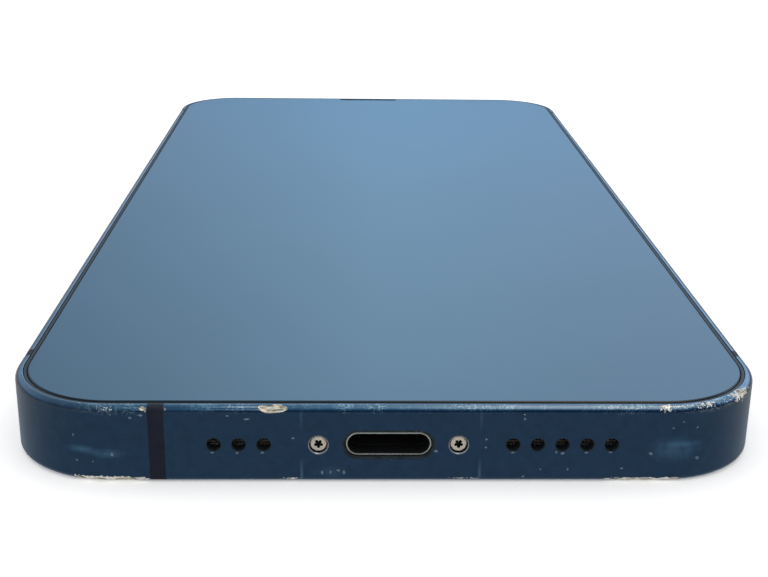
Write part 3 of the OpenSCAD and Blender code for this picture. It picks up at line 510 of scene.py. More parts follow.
flashPane = glass("flashGlass", {
    "colour": (0.86, 0.80, 0.60), "tone": (0.93, 0.90, 0.76), "stops": (0.3, 0.7),
    "smear": (5, 4, 0.6), "haze": (5, 4, 0.6), "clear": 0.7, "rough": (0.12, 0.22), "bump": 0.05,
    "dials": {"Coat Weight": 0.8, "Subsurface Weight": 0.2, "Subsurface Scale": 0.5 * mm},
})

screwSteel = surface("screwSteel", {
    "colour": (0.52, 0.45, 0.36), "tone": (0.74, 0.66, 0.54), "mottle": 3.5,
    "grain": 24, "rough": (0.28, 0.42), "bump": 0.25, "metal": 0.45,
    "edge": (0.85, 0.81, 0.72), "edgeWidth": 0.06,
})
linerSteel = surface("linerSteel", {
    "colour": (0.62, 0.58, 0.48), "tone": (0.78, 0.75, 0.64), "mottle": 1.8,
    "grain": 18, "rough": (0.18, 0.30), "metal": 0.85,
    "edge": (0.92, 0.90, 0.80),
})
# painted shade: a near-black finish for the screws' recesses and the socket's bore
paintedShadeRecess = surface("shadedRecessFinish", {
    "colour": (0.0045, 0.0055, 0.0065), "tone": (0.011, 0.012, 0.012), "mottle": 3.5,
    "grain": 24, "rough": (0.55, 0.75), "bump": 0.4, "depth": 0.02, "specular": 0.2,
})
rimSteel = surface("rimSteel", {
    "colour": (0.26, 0.26, 0.25), "tone": (0.40, 0.40, 0.38), "mottle": 2.0,
    "grain": 24, "rough": (0.24, 0.36), "metal": 0.6,
})
# painted shade: the rounded mouths of the socket and the sound holes take a near-black finish
paintedShadeMouth = surface("paintedShadeMouth", {
    "colour": (0.012, 0.018, 0.024), "tone": (0.022, 0.032, 0.040), "mottle": 2.0,
    "grain": 24, "rough": (0.42, 0.55), "bump": 0.15, "metal": 0.2, "specular": 0.12,
})
paneEdge = surface("paneEdge", {
    "colour": (0.0030, 0.0050, 0.0080), "tone": (0.0055, 0.0085, 0.0125), "mottle": 0.9,
    "grain": 18, "rough": (0.16, 0.28), "bump": 0.05, "specular": 0.4,
})
plateSteel = surface("plateSteel", {
    "colour": (0.42, 0.44, 0.46), "tone": (0.55, 0.56, 0.58), "mottle": 0.25,
    "grain": 9, "brush": (1, 12, 1), "rough": (0.26, 0.40), "bump": 0.12, "metal": 1.0,
    "edge": (0.75, 0.76, 0.77), "edgeWidth": 0.08,
})
blackPlastic = surface("blackPlastic", {
    "colour": (0.010, 0.010, 0.012), "tone": (0.016, 0.016, 0.018), "mottle": 0.8,
    "grain": 16, "rough": (0.40, 0.58), "bump": 0.15, "depth": 0.02,
    "edge": (0.035, 0.036, 0.040),
})
blackRubber = surface("blackRubber", {
    "colour": (0.010, 0.010, 0.010), "tone": (0.018, 0.018, 0.018), "mottle": 1.2,
    "grain": 20, "rough": (0.60, 0.80), "bump": 0.2, "depth": 0.02,
})
meshSteel = surface("meshSteel", {
    "colour": (0.19, 0.155, 0.12), "tone": (0.32, 0.27, 0.22), "mottle": 2.5,
    "grain": 30, "rough": (0.35, 0.50), "bump": 0.2, "metal": 0.8,
})
panelFilm = surface("panelFilm", {
    "colour": (0.006, 0.007, 0.010), "tone": (0.010, 0.011, 0.015), "mottle": 0.1,
    "grain": 12, "rough": (0.08, 0.14), "bump": 0.02,
})
flexFilm = surface("flexFilm", {
    "colour": (0.20, 0.085, 0.020), "tone": (0.28, 0.125, 0.030), "mottle": 0.5,
    "grain": 10, "brush": (4, 0.3, 1), "rough": (0.22, 0.34), "bump": 0.3, "depth": 0.02, "coat": 0.4,
})
contactGold = surface("contactGold", {
    "colour": (0.62, 0.42, 0.13), "tone": (0.76, 0.55, 0.22), "mottle": 3.0,
    "grain": 25, "rough": (0.20, 0.34), "metal": 1.0,
    "edge": (0.85, 0.68, 0.36),
})
batteryWrap = surface("batteryWrap", {
    "colour": (0.010, 0.010, 0.012), "tone": (0.022, 0.022, 0.025), "mottle": 0.06,
    "grain": 3.0, "rough": (0.30, 0.45), "bump": 0.25, "depth": 0.05, "coat": 0.3, "coatRough": 0.2,
    "edge": (0.06, 0.06, 0.065), "edgeWidth": 0.4,
})
magnetNickel = surface("magnetNickel", {
    "colour": (0.48, 0.48, 0.47), "tone": (0.60, 0.60, 0.58), "mottle": 0.8,
    "grain": 12, "rough": (0.16, 0.26), "bump": 0.05, "metal": 1.0,
    "edge": (0.80, 0.80, 0.78), "edgeWidth": 0.1,
})
cameraBlack = surface("cameraBlack", {
    "colour": (0.008, 0.008, 0.010), "tone": (0.014, 0.014, 0.017), "mottle": 1.5,
    "grain": 20, "rough": (0.32, 0.48), "bump": 0.12,
    "edge": (0.04, 0.04, 0.045), "edgeWidth": 0.06,
})


def woundCopper():
    # enamelled wire wound in rings about the middle of the back
    material, tree, shader, where = startMaterial("copperWire")
    wound = add(tree, "TexWave", {"Vector": where, "Scale": 0.62, "Distortion": 0.0},
                wave_type="RINGS", rings_direction="Z").outputs["Fac"]
    tint = cloud(tree, where, 0.6, 4)
    stops = [(0.05, (0.10, 0.035, 0.012)), (0.35, (0.48, 0.19, 0.07)), (0.9, (0.66, 0.30, 0.13))]
    colour = ramp(tree, wound, stops)
    colour = blend(tree, span(tree, tint, 0.4, 0.8, 0.0, 0.35), colour, (0.36, 0.13, 0.05, 1))
    finish(tree, shader, colour, span(tree, tint, 0.3, 0.7, 0.24, 0.36), wound, 0.6, 0.08)
    dial(shader, {"Metallic": 1.0, "Coat Weight": 0.3})
    return material


def printedBoard():
    # green mask over copper tracks and pads
    material, tree, shader, where = startMaterial("boardLaminate")
    pads = add(tree, "TexVoronoi", {"Vector": where, "Scale": 0.9, "Randomness": 0.55}, distance="CHEBYCHEV")
    track = add(tree, "TexBrick", {
        "Vector": where, "Scale": 0.7, "Mortar Size": 0.035, "Color1": (0, 0, 0, 1), "Color2": (0, 0, 0, 1),
        "Mortar": (1, 1, 1, 1), "Brick Width": 1.3, "Row Height": 0.55,
    }).outputs["Fac"]
    tint = cloud(tree, where, 0.4, 4)
    colour = ramp(tree, tint, [(0.3, (0.006, 0.030, 0.020)), (0.7, (0.010, 0.044, 0.028))])
    colour = blend(tree, times(tree, track, 0.5), colour, (0.03, 0.10, 0.06, 1))
    pad = span(tree, pads.outputs["Distance"], 0.16, 0.13)
    colour = blend(tree, pad, colour, (0.62, 0.44, 0.16, 1))
    height = sums(tree, "MAXIMUM", track, pad)
    finish(tree, shader, colour, span(tree, tint, 0.3, 0.7, 0.30, 0.42), height, 0.3, 0.03)
    tree.links.new(pad, shader.inputs["Metallic"])
    return material


copper = woundCopper()
laminate = printedBoard()
print("finishes ready")


# modelling helpers: shapes are made in millimetres
metals = (blueMetal, chippedMetal, rimSteel, paintedShadeMouth)
chipped, rimmed, shadedMouthIndex = 1, 2, 3      # where the metals of cut faces stand in that list


def toObject(bm, name, materials, crease=32, weighted=True):
    bmesh.ops.remove_doubles(bm, verts=bm.verts, dist=0.0004)
    bmesh.ops.dissolve_degenerate(bm, edges=bm.edges, dist=0.0002)
    bmesh.ops.recalc_face_normals(bm, faces=bm.faces)
    bmesh.ops.scale(bm, verts=bm.verts, vec=(mm, mm, mm))
    mesh = bpy.data.meshes.new(name)
    bm.to_mesh(mesh)
    bm.free()
    for material in materials:
        mesh.materials.append(material)
    mesh.polygons.foreach_set("use_smooth", [True] * len(mesh.polygons))
    mesh.set_sharp_from_angle(angle=math.radians(crease))
    made = bpy.data.objects.new(name, mesh)
    scene.collection.objects.link(made)
    if weighted:
        # flats stay flat beside their rounded edges
        even = made.modifiers.new("flats", "WEIGHTED_NORMAL")
        even.keep_sharp = True
        even.weight = 90
    return made


def piece(bm, name, materials, body, slot, *replaced, crease=32, weighted=True):
    made = toObject(bm, name, materials, crease, weighted)
    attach(made, body)
    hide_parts(*replaced)
    return made


def carve(bm, cutter, index=0, operation="DIFFERENCE"):
    # cuts one bmesh with another; the cut faces take the material of that index
    for face in cutter.faces:
        face.material_index = index
    temps = []
    for shape in (bm, cutter):
        bmesh.ops.recalc_face_normals(shape, faces=shape.faces)
        mesh = bpy.data.meshes.new("carving")
        shape.to_mesh(mesh)
        shape.free()
        for material in metals:
            mesh.materials.append(material)
        temp = bpy.data.objects.new("carving", mesh)
        scene.collection.objects.link(temp)
        temps.append(temp)
    blank, tool = temps
    cut = blank.modifiers.new("cut", "BOOLEAN")
    cut.object = tool
    cut.operation = operation
    cut.solver = "EXACT"
    evaluated = blank.evaluated_get(bpy.context.evaluated_depsgraph_get())
    result = bmesh.new()
    result.from_mesh(evaluated.to_mesh())
    evaluated.to_mesh_clear()
    for temp in temps:
        mesh = temp.data
        bpy.data.objects.remove(temp)
        bpy.data.meshes.remove(mesh)
    return result


def ringOf(bm, radius, reach, depth, segments=48):
    # a circle drawn out into a stadium; reach is how far its two halves stand apart
    turn = Matrix.Rotation(math.pi / segments, 4, "Z")
    made = bmesh.ops.create_circle(bm, segments=segments, radius=radius, matrix=turn)
    for vert in made["verts"]:
        vert.co.x += math.copysign(reach, vert.co.x)
        vert.co.z = depth
    edges = set(edge for vert in made["verts"] for edge in vert.link_edges)
    return list(edges)


def stack(bm, place, rings, segments=48, joined=False):
    # rings of (radius, reach, depth) bridged one after another, then moved to their place
    before = set(bm.verts)
    loops = [ringOf(bm, *ring, segments=segments) for ring in rings]
    for first, second in zip(loops, loops[1:]):
        bmesh.ops.bridge_loops(bm, edges=first + second)
    if joined:
        bmesh.ops.bridge_loops(bm, edges=loops[-1] + loops[0])
    else:
        for loop in (loops[0], loops[-1]):
            bmesh.ops.contextual_create(bm, geom=loop)
    moved(bm, set(bm.verts) - before, place)


def stacked(place, rings, segments=48, joined=False):
    bm = bmesh.new()
    stack(bm, place, rings, segments, joined)
    return bm


def merge(bm, shape):
    # adds one bmesh to another
    mesh = bpy.data.meshes.new("merging")
    shape.to_mesh(mesh)
    shape.free()
    bm.from_mesh(mesh)
    bpy.data.meshes.remove(mesh)


def extended(bm, edges, vec):
    # extrudes edges by vec and returns the edges at their far side
    made = bmesh.ops.extrude_edge_only(bm, edges=edges)["geom"]
    verts = [item for item in made if isinstance(item, bmesh.types.BMVert)]
    bmesh.ops.translate(bm, verts=verts, vec=vec)
    return [item for item in made if isinstance(item, bmesh.types.BMEdge)
            and all(vert in verts for vert in item.verts)]


def angles(steps, whole=90):
    # from 0 to a quarter turn, or to another number of degrees
    return [math.radians(whole * step / steps) for step in range(steps + 1)]


proud = 0.6      # how far a cutter stands out of the face it cuts


def flare(radius, reach, round_, depth, steps=4):
    # the rounded mouth of a hole, then its straight wall down to depth
    rings = [(radius + round_, reach, -proud)]
    for step in range(steps + 1):
        deep = round_ * step / steps
        out = round_ - math.sqrt(max(0.0, round_ ** 2 - (round_ - deep) ** 2))
        rings.append((radius + out, reach, deep))
    rings.append((radius, reach, depth))
    return rings


def atEnd(x):
    # local Z runs inwards from the port end's face
    return Matrix.Translation((x, -halfLength, midHeight)) @ Matrix.Rotation(math.radians(-90), 4, "X")


def atSide(side, y):
    # local X runs along the phone and local Z inwards
    turn = Matrix.Rotation(math.radians(-90 * side), 4, "Y") @ Matrix.Rotation(math.radians(90), 4, "Z")
    return Matrix.Translation((side * halfWidth, y, midHeight)) @ turn


def above(centre, back=0.0):
    return Matrix.Translation((centre.x, centre.y - back, 0))


def moved(bm, verts, matrix):
    bmesh.ops.transform(bm, matrix=matrix, verts=list(verts))


# band
band = {
    "corner": 10.3,
    "edge": 0.65,
    "edgeSteps": 10,
    "wall": 1.9,
    "lip": 0.75,
    "lipRound": 0.04,
    "turnSteps": 40,
    "sunk": 0.015,      # how far the plastic lies below the metal
}
cornerX = halfWidth - band["corner"]
cornerY = halfLength - band["corner"]
paneTop = boxOf("rear_glass")[1].z
sealTop = boxOf("display_gasket")[0].z


def bandSection(bm, sunk=0.0):
    # the wall's section, standing at X = 0 with the outer face at Y = 0 and the inside towards -Y
    wall, lip = band["wall"], band["lip"]
    corners = [(0, bandLow), (0, bandHigh), (lip, bandHigh), (lip, sealTop), (wall, sealTop),
               (wall, paneTop), (lip, paneTop), (lip, bandLow)]
    verts = [bm.verts.new((0, -sunk - depth, height)) for depth, height in corners]
    bm.faces.new(verts)
    for chosen, offset, steps in (
        (verts[0:2], band["edge"], band["edgeSteps"]),
        ((verts[2], verts[7]), band["lipRound"], 2),
    ):
        bmesh.ops.bevel(bm, geom=list(chosen), offset=offset, segments=steps, profile=0.5,
                        affect="VERTICES", material=-1)
    return list(bm.edges)


def cornerLength(endX, sideY, signX, signY):
    # from the end's antenna break at endX, round the corner, to the side's break at sideY
    bm = bmesh.new()
    edges = bandSection(bm)
    moved(bm, bm.verts, Matrix.Translation((endX, halfLength, 0)))
    loop = extended(bm, edges, (cornerX - endX, 0, 0))
    turned = bmesh.ops.spin(bm, geom=loop, cent=(cornerX, cornerY, 0), axis=(0, 0, 1), dvec=(0, 0, 0),
                            angle=math.radians(-90), steps=band["turnSteps"], use_merge=False,
                            use_duplicate=False, use_normal_flip=False)["geom_last"]
    loop = [item for item in turned if isinstance(item, bmesh.types.BMEdge)]
    bmesh.ops.contextual_create(bm, geom=extended(bm, loop, (0, sideY - cornerY, 0)))
    bmesh.ops.scale(bm, verts=bm.verts, vec=(signX, signY, 1))
    bmesh.ops.remove_doubles(bm, verts=bm.verts, dist=0.0005)
    bmesh.ops.recalc_face_normals(bm, faces=bm.faces)
    return bm


def straightLength(start, stop, turn, out, sunk=0.0):
    # a straight length along X from start to stop, then turned about Z and moved out to its face
    bm = bmesh.new()
    edges = bandSection(bm, sunk)
    moved(bm, bm.verts, Matrix.Translation((start, 0, 0)))
    bmesh.ops.contextual_create(bm, geom=extended(bm, edges, (stop - start, 0, 0)))
    moved(bm, bm.verts, Matrix.Translation(out) @ Matrix.Rotation(math.radians(turn), 4, "Z"))
    bmesh.ops.recalc_face_normals(bm, faces=bm.faces)
    return bm


openings = {
    "screwX": 6.4,
    "soundX": 11.37,
    "pitch": 2.27,
    "left": 3,
    "right": 5,
    "soundRadius": 0.625,
    "soundRound": 0.07,
    "screwRadius": 0.85,
    "bodyRadius": 0.55,     # behind the screw's head
    "meshRadius": 1.3,      # the pocket that holds a woven mesh
    "socket": (1.225, 2.775),
    "socketRound": 0.25,
    "inside": 2.6,          # deeper than the wall
    "rim": [(0.94, 0, -proud), (0.94, 0, 0.0), (0.91, 0, 0.03), (0.86, 0, 0.10), (0.82, 0, 0.14)],
}


def soundPlaces(side):
    count = openings["left" if side < 0 else "right"]
    return [side * (openings["soundX"] + step * openings["pitch"]) for step in range(count)]


def cutEndOpenings(bm):
    inside = openings["inside"]
    heads, mouths, pockets, rims = (bmesh.new() for kind in range(4))
    for side in (-1, 1):
        places = soundPlaces(side)
        for x in places:
            stack(mouths, atEnd(x), flare(openings["soundRadius"], 0, openings["soundRound"], 1.6), 40)
        screwAt = atEnd(side * openings["screwX"])
        stack(heads, screwAt, flare(openings["screwRadius"], 0, 0.05, 0.8, 2))
        stack(pockets, screwAt, [(openings["bodyRadius"], 0, 0.4), (openings["bodyRadius"], 0, inside)], 32)
        half = abs(places[-1] - places[0]) / 2 + 0.1
        pocket = [(openings["meshRadius"], half, 1.1), (openings["meshRadius"], half, inside)]
        stack(pockets, atEnd((places[0] + places[-1]) / 2), pocket, 32)
        stack(rims, screwAt, openings["rim"], 56)
    stack(mouths, atEnd(0), flare(*openings["socket"], openings["socketRound"], inside, 6), 64)
    # the mouths' cut faces take the painted shade
    for cutter, index in ((heads, 0), (mouths, shadedMouthIndex), (pockets, 0), (rims, rimmed)):
        bm = carve(bm, cutter, index)
    return bm


def lump(at, size, turn, seed, rough, dip):
    # an uneven pebble that cuts a dent or a gouge
    bm = bmesh.new()
    made = bmesh.ops.create_icosphere(bm, subdivisions=3, radius=1.0)["verts"]
    for vert in made:
        along = vert.co.normalized()
        coarse = noise.noise(along * 1.7 + Vector((seed * 7.3, 0, 0)))
        fine = noise.noise(along * 5.2 + Vector((0, seed * 3.1, 0)))
        vert.co = along * (1 + rough * coarse + rough * 0.5 * fine)
        vert.co = Vector(part * scale for part, scale in zip(vert.co, size))
    twist = Matrix.Rotation(math.radians(turn), 4, "Z") @ Matrix.Rotation(math.radians(dip), 4, "Y")
    moved(bm, made, Matrix.Translation(at) @ twist)
    return bm


def knock(bm, side, marks):
    # marks along the end's curved edges: where, tilt from level, half length, radius, depth, twist
    for seed, (along, tilt, length, radius, depth, twist) in enumerate(marks, 1):
        lean = math.radians(tilt)
        turn = 0.0
        x = along
        if abs(along) > cornerX:
            # past the straight, the same distance is laid round the corner
            turn = (abs(along) - cornerX) / band["corner"] * side
            x = side * cornerX
        inner = band["corner"] - band["edge"]
        height = bandHigh - band["edge"] if tilt > 0 else bandLow + band["edge"]
        out = Vector((math.sin(turn) * math.cos(lean), -math.cos(turn) * math.cos(lean), math.sin(lean)))
        base = Vector((x + inner * math.sin(turn), -cornerY - inner * math.cos(turn), height))
        centre = base + out * (band["edge"] + radius - depth)
        rough = 0.16 if tilt > 0 else 0.05
        cutter = lump(centre, (length, radius, radius), math.degrees(turn), seed * side, rough, twist)
        bm = carve(bm, cutter, chipped)
    return bm


# knocks and scrapes right of the antenna break
endMarks = [
    (-10.52, 45, 2.30, 0.95, 0.185, 0), (-10.05, 62, 0.90, 0.60, 0.13, 0), (-9.55, 46, 0.60, 0.60, 0.13, 8),
    (-20.16, 38, 0.14, 0.34, 0.05, 0),
    (34.10, 52, 0.90, 0.66, 0.22, 8), (32.95, 70, 0.40, 0.46, 0.11, -10), (35.10, 34, 0.46, 0.50, 0.12, 14),
    (36.10, 46, 0.26, 0.36, 0.06, 0), (25.10, 62, 0.50, 0.34, 0.035, 0), (29.35, 58, 0.50, 0.36, 0.035, 6),
    (23.20, -40, 2.50, 0.55, 0.08, 0), (26.60, -36, 1.10, 0.50, 0.07, 2), (21.20, -30, 0.80, 0.45, 0.05, -2),
]
# and left of it
cornerMarks = [
    (-22.20, 42, 0.36, 0.46, 0.10, 0), (-21.92, 32, 0.16, 0.40, 0.09, 0), (-24.00, -38, 1.90, 0.60, 0.12, 0),
    (-26.40, -40, 1.20, 0.58, 0.11, 2), (-28.20, -34, 0.90, 0.48, 0.07, 0),
]


breakLow, breakHigh = boxOf("antenna_break_bottom")
topLow, topHigh = boxOf("antenna_break_top")
sideBreak = boxOf("antenna_breaks_right")[1].y
sideInner = boxOf("band_right")[1].y

portEnd = knock(cutEndOpenings(cornerLength(breakHigh.x, sideBreak, 1, -1)), 1, endMarks)
portCorner = knock(cornerLength(-breakLow.x, sideBreak, -1, -1), -1, cornerMarks)
for shape, label, node in (
    (portEnd, "bandPortEnd", "band_bottom"),
    (portCorner, "bandPortCorner", "band_bottom_corner"),
    (cornerLength(-topLow.x, sideBreak, -1, 1), "bandTopEnd", "band_top"),
    (cornerLength(topHigh.x, sideBreak, 1, 1), "bandTopCorner", "band_top_corner"),
):
    piece(shape, label, metals, "phone", "band_metal", node)
print("band ends ready")

keys = {
    "radius": 1.45,
    "gap": 0.05,
    "round": 0.32,
    "flange": 0.30,
    "pocket": 0.40,
    "skin": 1.0,
    "proud": 0.35,
}


def cutKey(bm, name, side):
    low, high = boxOf(name)
    reach = (high.y - low.y) / 2 - keys["flange"] - keys["radius"]
    place = atSide(side, (low.y + high.y) / 2)
    wide = keys["radius"] + keys["pocket"]
    bm = carve(bm, stacked(place, flare(keys["radius"] + keys["gap"], reach, 0.08, 1.2, 3)))
    return carve(bm, stacked(place, [(wide, reach, keys["skin"]), (wide, reach, openings["inside"])]))


def sideBand(side, keyNames):
    bm = straightLength(-sideInner, sideInner, -90 * side, (side * halfWidth, 0, 0))
    for name in keyNames:
        bm = cutKey(bm, name, side)
    return bm


def roundedBox(x0, x1, y0, y1, z0, z1, round_=0.0):
    bm = bmesh.new()
    bmesh.ops.create_cube(bm, size=1)
    bmesh.ops.scale(bm, verts=bm.verts, vec=(x1 - x0, y1 - y0, z1 - z0))
    bmesh.ops.translate(bm, verts=bm.verts, vec=((x0 + x1) / 2, (y0 + y1) / 2, (z0 + z1) / 2))
    if round_:
        bmesh.ops.bevel(bm, geom=list(bm.edges), offset=round_, segments=3, profile=0.5,
                        affect="EDGES", material=-1)
    return bm


piece(sideBand(1, ["power_key"]), "bandRight", metals, "phone", "band_metal", "band_right")
leftBand = sideBand(-1, ["volume_up_key", "volume_down_key"])
slider = {
    "cap": 1.40,
    "inset": (0.5, 0.3),      # of the cap from its flange, along and across
    "grip": 0.55,
    "groove": (0.08, 0.07),   # half width and depth
    # from and to inside the face, beyond the slider's ends, half height, rounding
    "slot": (-1, 2.5, -0.45, 1.35, 0.06),
    "pocket": (1, 3, 0.2, 1.8, 0.0),
}
muteLow, muteHigh = boxOf("mute_switch")
for start, stop, beyond, tall, round_ in (slider["slot"], slider["pocket"]):
    opening = roundedBox(-halfWidth + start, -halfWidth + stop, muteLow.y - beyond, muteHigh.y + beyond,
                         midHeight - tall, midHeight + tall, round_)
    leftBand = carve(leftBand, opening)
tray = {
    "radius": 1.1,
    "gap": 0.05,
    "round": 0.08,
    "lip": 1.3,
    "wall": 1.5,
    "board": 1.2,
    "boardEnd": 7.4,
    "rail": 1.6,
    "card": (12.5, 9.0, 0.8),      # the card's well: length, width, ledge
    "pinHole": [(0.50, 0, -0.3), (0.50, 0, 0.0), (0.45, 0, 0.06), (0.45, 0, 2.5)],
}
trayLow, trayHigh = boxOf("sim_tray")
trayY = (trayLow.y + trayHigh.y) / 2
trayReach = (trayHigh.y - trayLow.y) / 2 - tray["radius"]
trayMouth = flare(tray["radius"] + tray["gap"], trayReach, 0.06, openings["inside"], 3)
leftBand = carve(leftBand, stacked(atSide(-1, trayY), trayMouth))
piece(leftBand, "bandLeft", metals, "phone", "band_metal", "band_left")

for name, label, start, stop, turn, y in (
    ("antenna_break_bottom", "BreakBottom", -breakHigh.x, -breakLow.x, 180, -halfLength),
    ("antenna_break_top", "BreakTop", -breakHigh.x, -breakLow.x, 0, halfLength),
):
    run = straightLength(start, stop, turn, (0, y, 0), band["sunk"])
    piece(run, label, (breakPlastic,), "phone", "antenna_plastic", name)
for name, label, side in (
    ("antenna_breaks_left", "sideBreaksLeft", -1),
    ("antenna_breaks_right", "sideBreaksRight", 1),
):
    pair = bmesh.new()
    half = (sideBreak - sideInner) / 2
    out = (side * halfWidth, 0, 0)
    for y in (-1, 1):
        middle = -y * side * (sideBreak + sideInner) / 2
        merge(pair, straightLength(middle - half, middle + half, -90 * side, out, band["sunk"]))
    piece(pair, label, (breakPlastic,), "phone", "antenna_plastic", name)
print("band sides ready")


# glass
pane = {
    "cornerSteps": 28,
    "slotGap": 0.05,      # round the earpiece mesh
    "plateauCorner": 8.0,
    "neckHole": 5.75,
    "flashHole": 2.75,
    "micBehind": 8,       # from the flash window
    "micRadius": 0.45,
}


def slab(lowCorner, highCorner, radius, lowRound=0.0, highRound=0.0, steps=5):
    # a rounded rectangle with its lower and upper edges rounded
    bm = bmesh.new()
    bmesh.ops.create_grid(bm, x_segments=1, y_segments=1, size=0.5)
    size = highCorner - lowCorner
    middle = (lowCorner + highCorner) / 2
    bmesh.ops.scale(bm, verts=bm.verts, vec=(size.x, size.y, 1))
    bmesh.ops.bevel(bm, geom=list(bm.verts), offset=radius, segments=pane["cornerSteps"], profile=0.5,
                    affect="VERTICES", material=-1)
    raised = bmesh.ops.extrude_face_region(bm, geom=list(bm.faces))["geom"]
    raised = [item for item in raised if isinstance(item, bmesh.types.BMVert)]
    bmesh.ops.translate(bm, verts=raised, vec=(0, 0, size.z))
    bmesh.ops.recalc_face_normals(bm, faces=bm.faces)
    for height, offset in ((0, lowRound), (size.z, highRound)):
        if offset:
            rim = [edge for edge in bm.edges if all(abs(vert.co.z - height) < 1e-6 for vert in edge.verts)]
            bmesh.ops.bevel(bm, geom=rim, offset=offset, segments=steps, profile=0.5,
                            affect="EDGES", material=-1)
    bmesh.ops.translate(bm, verts=bm.verts, vec=(middle.x, middle.y, lowCorner.z))
    return bm


low, high = boxOf("cover_glass")
cover = slab(low, high, band["corner"] - (halfWidth - high.x), 0.03, 0.22, 6)
slotLow, slotHigh = boxOf("earpiece_mesh")
half = (slotHigh.y - slotLow.y) / 2 + pane["slotGap"]
reach = (slotHigh.x - slotLow.x) / 2 + pane["slotGap"] - half
slotRings = [(half + wider, reach, height)
             for wider, height in ((0, -1), (0, 0.62), (0.03, 0.70), (0.09, 0.76), (0.09, 1))]
slotAt = Matrix.Translation((0, (slotLow.y + slotHigh.y) / 2, low.z))
cover = carve(cover, stacked(slotAt, slotRings, 40))
for face in cover.faces:
    if face.normal.z < 0.96:
        # all but the flat top takes the dark edge
        face.material_index = 1
piece(cover, "coverGlass", (screenPaintedReflection, paneEdge), "phone", "display_glass", "cover_glass")

cameras = [middleOf("lens_window_main"), middleOf("lens_window_wide")]
flashMiddle = middleOf("flash_window")


def hole(radius, low, high, lowRound):
    # a round cutter that flares at its lower end
    return [(radius + lowRound, 0, low - 0.5), (radius + lowRound, 0, low),
            (radius, 0, low + max(lowRound, 0.01)), (radius, 0, high + 0.5)]


def backHoles(low, high, lowRound):
    cutter = bmesh.new()
    places = [(camera, pane["neckHole"]) for camera in cameras] + [(flashMiddle, pane["flashHole"])]
    for centre, radius in places:
        stack(cutter, above(centre), hole(radius, low, high, lowRound), 72)
    return cutter


low, high = boxOf("rear_glass")
back = slab(low, high, band["corner"] - (halfWidth - high.x), 0.14, 0.03)
back = carve(back, backHoles(low.z, high.z, 0.0))
piece(back, "rearGlass", (backPane,), "phone", "rear_glass", "rear_glass")
low, high = boxOf("camera_plateau")
plateau = carve(slab(low, high, pane["plateauCorner"], 0.42, 0.0, 7), backHoles(low.z, high.z, 0.05))
micHole = stacked(above(flashMiddle, pane["micBehind"]), hole(pane["micRadius"], low.z, high.z, 0.05), 28)
piece(carve(plateau, micHole), "cameraPlateau", (plateauPane,), "phone", "rear_glass", "camera_plateau")
print("glass ready")


# rear cameras
def spun(profile, centre, steps=96, closed=False):
    # a profile of (radius, height) points turned once about the vertical
    bm = bmesh.new()
    verts = [bm.verts.new((radius, 0, height)) for radius, height in profile]
    pairs = list(zip(verts, verts[1:])) + ([(verts[-1], verts[0])] if closed else [])
    edges = [bm.edges.new(pair) for pair in pairs]
    bmesh.ops.spin(bm, geom=verts + edges, cent=(0, 0, 0), axis=(0, 0, 1), dvec=(0, 0, 0),
                   angle=math.tau, steps=steps, use_merge=True, use_duplicate=False)
    bmesh.ops.remove_doubles(bm, verts=bm.verts, dist=0.0005)
    bmesh.ops.dissolve_degenerate(bm, edges=bm.edges, dist=0.0005)
    bmesh.ops.translate(bm, verts=bm.verts, vec=(centre.x, centre.y, 0))
    bmesh.ops.recalc_face_normals(bm, faces=bm.faces)
    return bm


ring = {
    "outer": 6.7,
    "bore": 4.8,
    "neck": 5.7,
    "seat": 5.15,       # holds the window
    "round": 0.24,
    "flange": 0.75,
    "top": 2.5,
}
windowProfile = [(0, 0.05), (4.96, 0.05), (5.06, 0.08), (5.1, 0.14), (5.1, 0.50), (5.06, 0.55), (0, 0.55)]


def ringProfile():
    outer, seat, round_, flange = ring["outer"], ring["seat"], ring["round"], ring["flange"]
    profile = [(ring["neck"], ring["top"]), (ring["neck"], flange), (outer - 0.06, flange),
               (outer, flange - 0.06), (outer, 0.26)]
    for turn in angles(6):
        profile.append((outer - round_ + round_ * math.cos(turn), round_ - round_ * math.sin(turn)))
    profile += [(seat + 0.32, 0.0), (seat + 0.26, 0.02), (seat + 0.04, 0.05), (seat, 0.08), (seat, 0.60),
                (ring["bore"], 0.60), (ring["bore"], ring["top"])]
    return profile


for which, centre in zip(("main", "wide"), cameras):
    label = which.title()
    piece(spun(ringProfile(), centre, closed=True), "lensRing" + label, (blueMetal, chippedMetal), "phone",
          "band_metal", "lens_ring_" + which)
    piece(spun(windowProfile, centre), "lensWindow" + label, (lensPane,), "phone", "camera_glass",
          "lens_window_" + which)
print("lens rings ready")


# barrels behind the lens windows
lens = {
    "rings": [(3.9, 0.95), (3.9, 0.85), (3.5, 0.85), (3.42, 0.90), (3.30, 1.10), (3.02, 1.14), (2.92, 1.34),
              (2.62, 1.38), (2.54, 1.58), (2.22, 1.62), (2.16, 1.80), (1.72, 1.86)],
    "foot": 6.0,
    "front": 1.72,      # the domed front element
    "dome": 0.30,
    "domeSteps": 6,
}


def coatedGlass():
    # the purple and green of a coated front element
    material, tree, shader, where = startMaterial("coatedGlass")
    facing = add(tree, "LayerWeight", {"Blend": 0.42}).outputs["Facing"]
    haze = cloud(tree, where, 0.9, 3)
    stops = [(0.0, (0.004, 0.004, 0.010)), (0.45, (0.020, 0.010, 0.060)), (0.8, (0.01, 0.05, 0.06))]
    colour = ramp(tree, facing, stops)
    finish(tree, shader, colour, span(tree, haze, 0.3, 0.8, 0.02, 0.05), haze, 0.004, 0.01)
    dial(shader, {"Coat Weight": 1.0, "Coat Roughness": 0.02, "Coat Tint": (0.75, 0.70, 1.0, 1)})
    return material


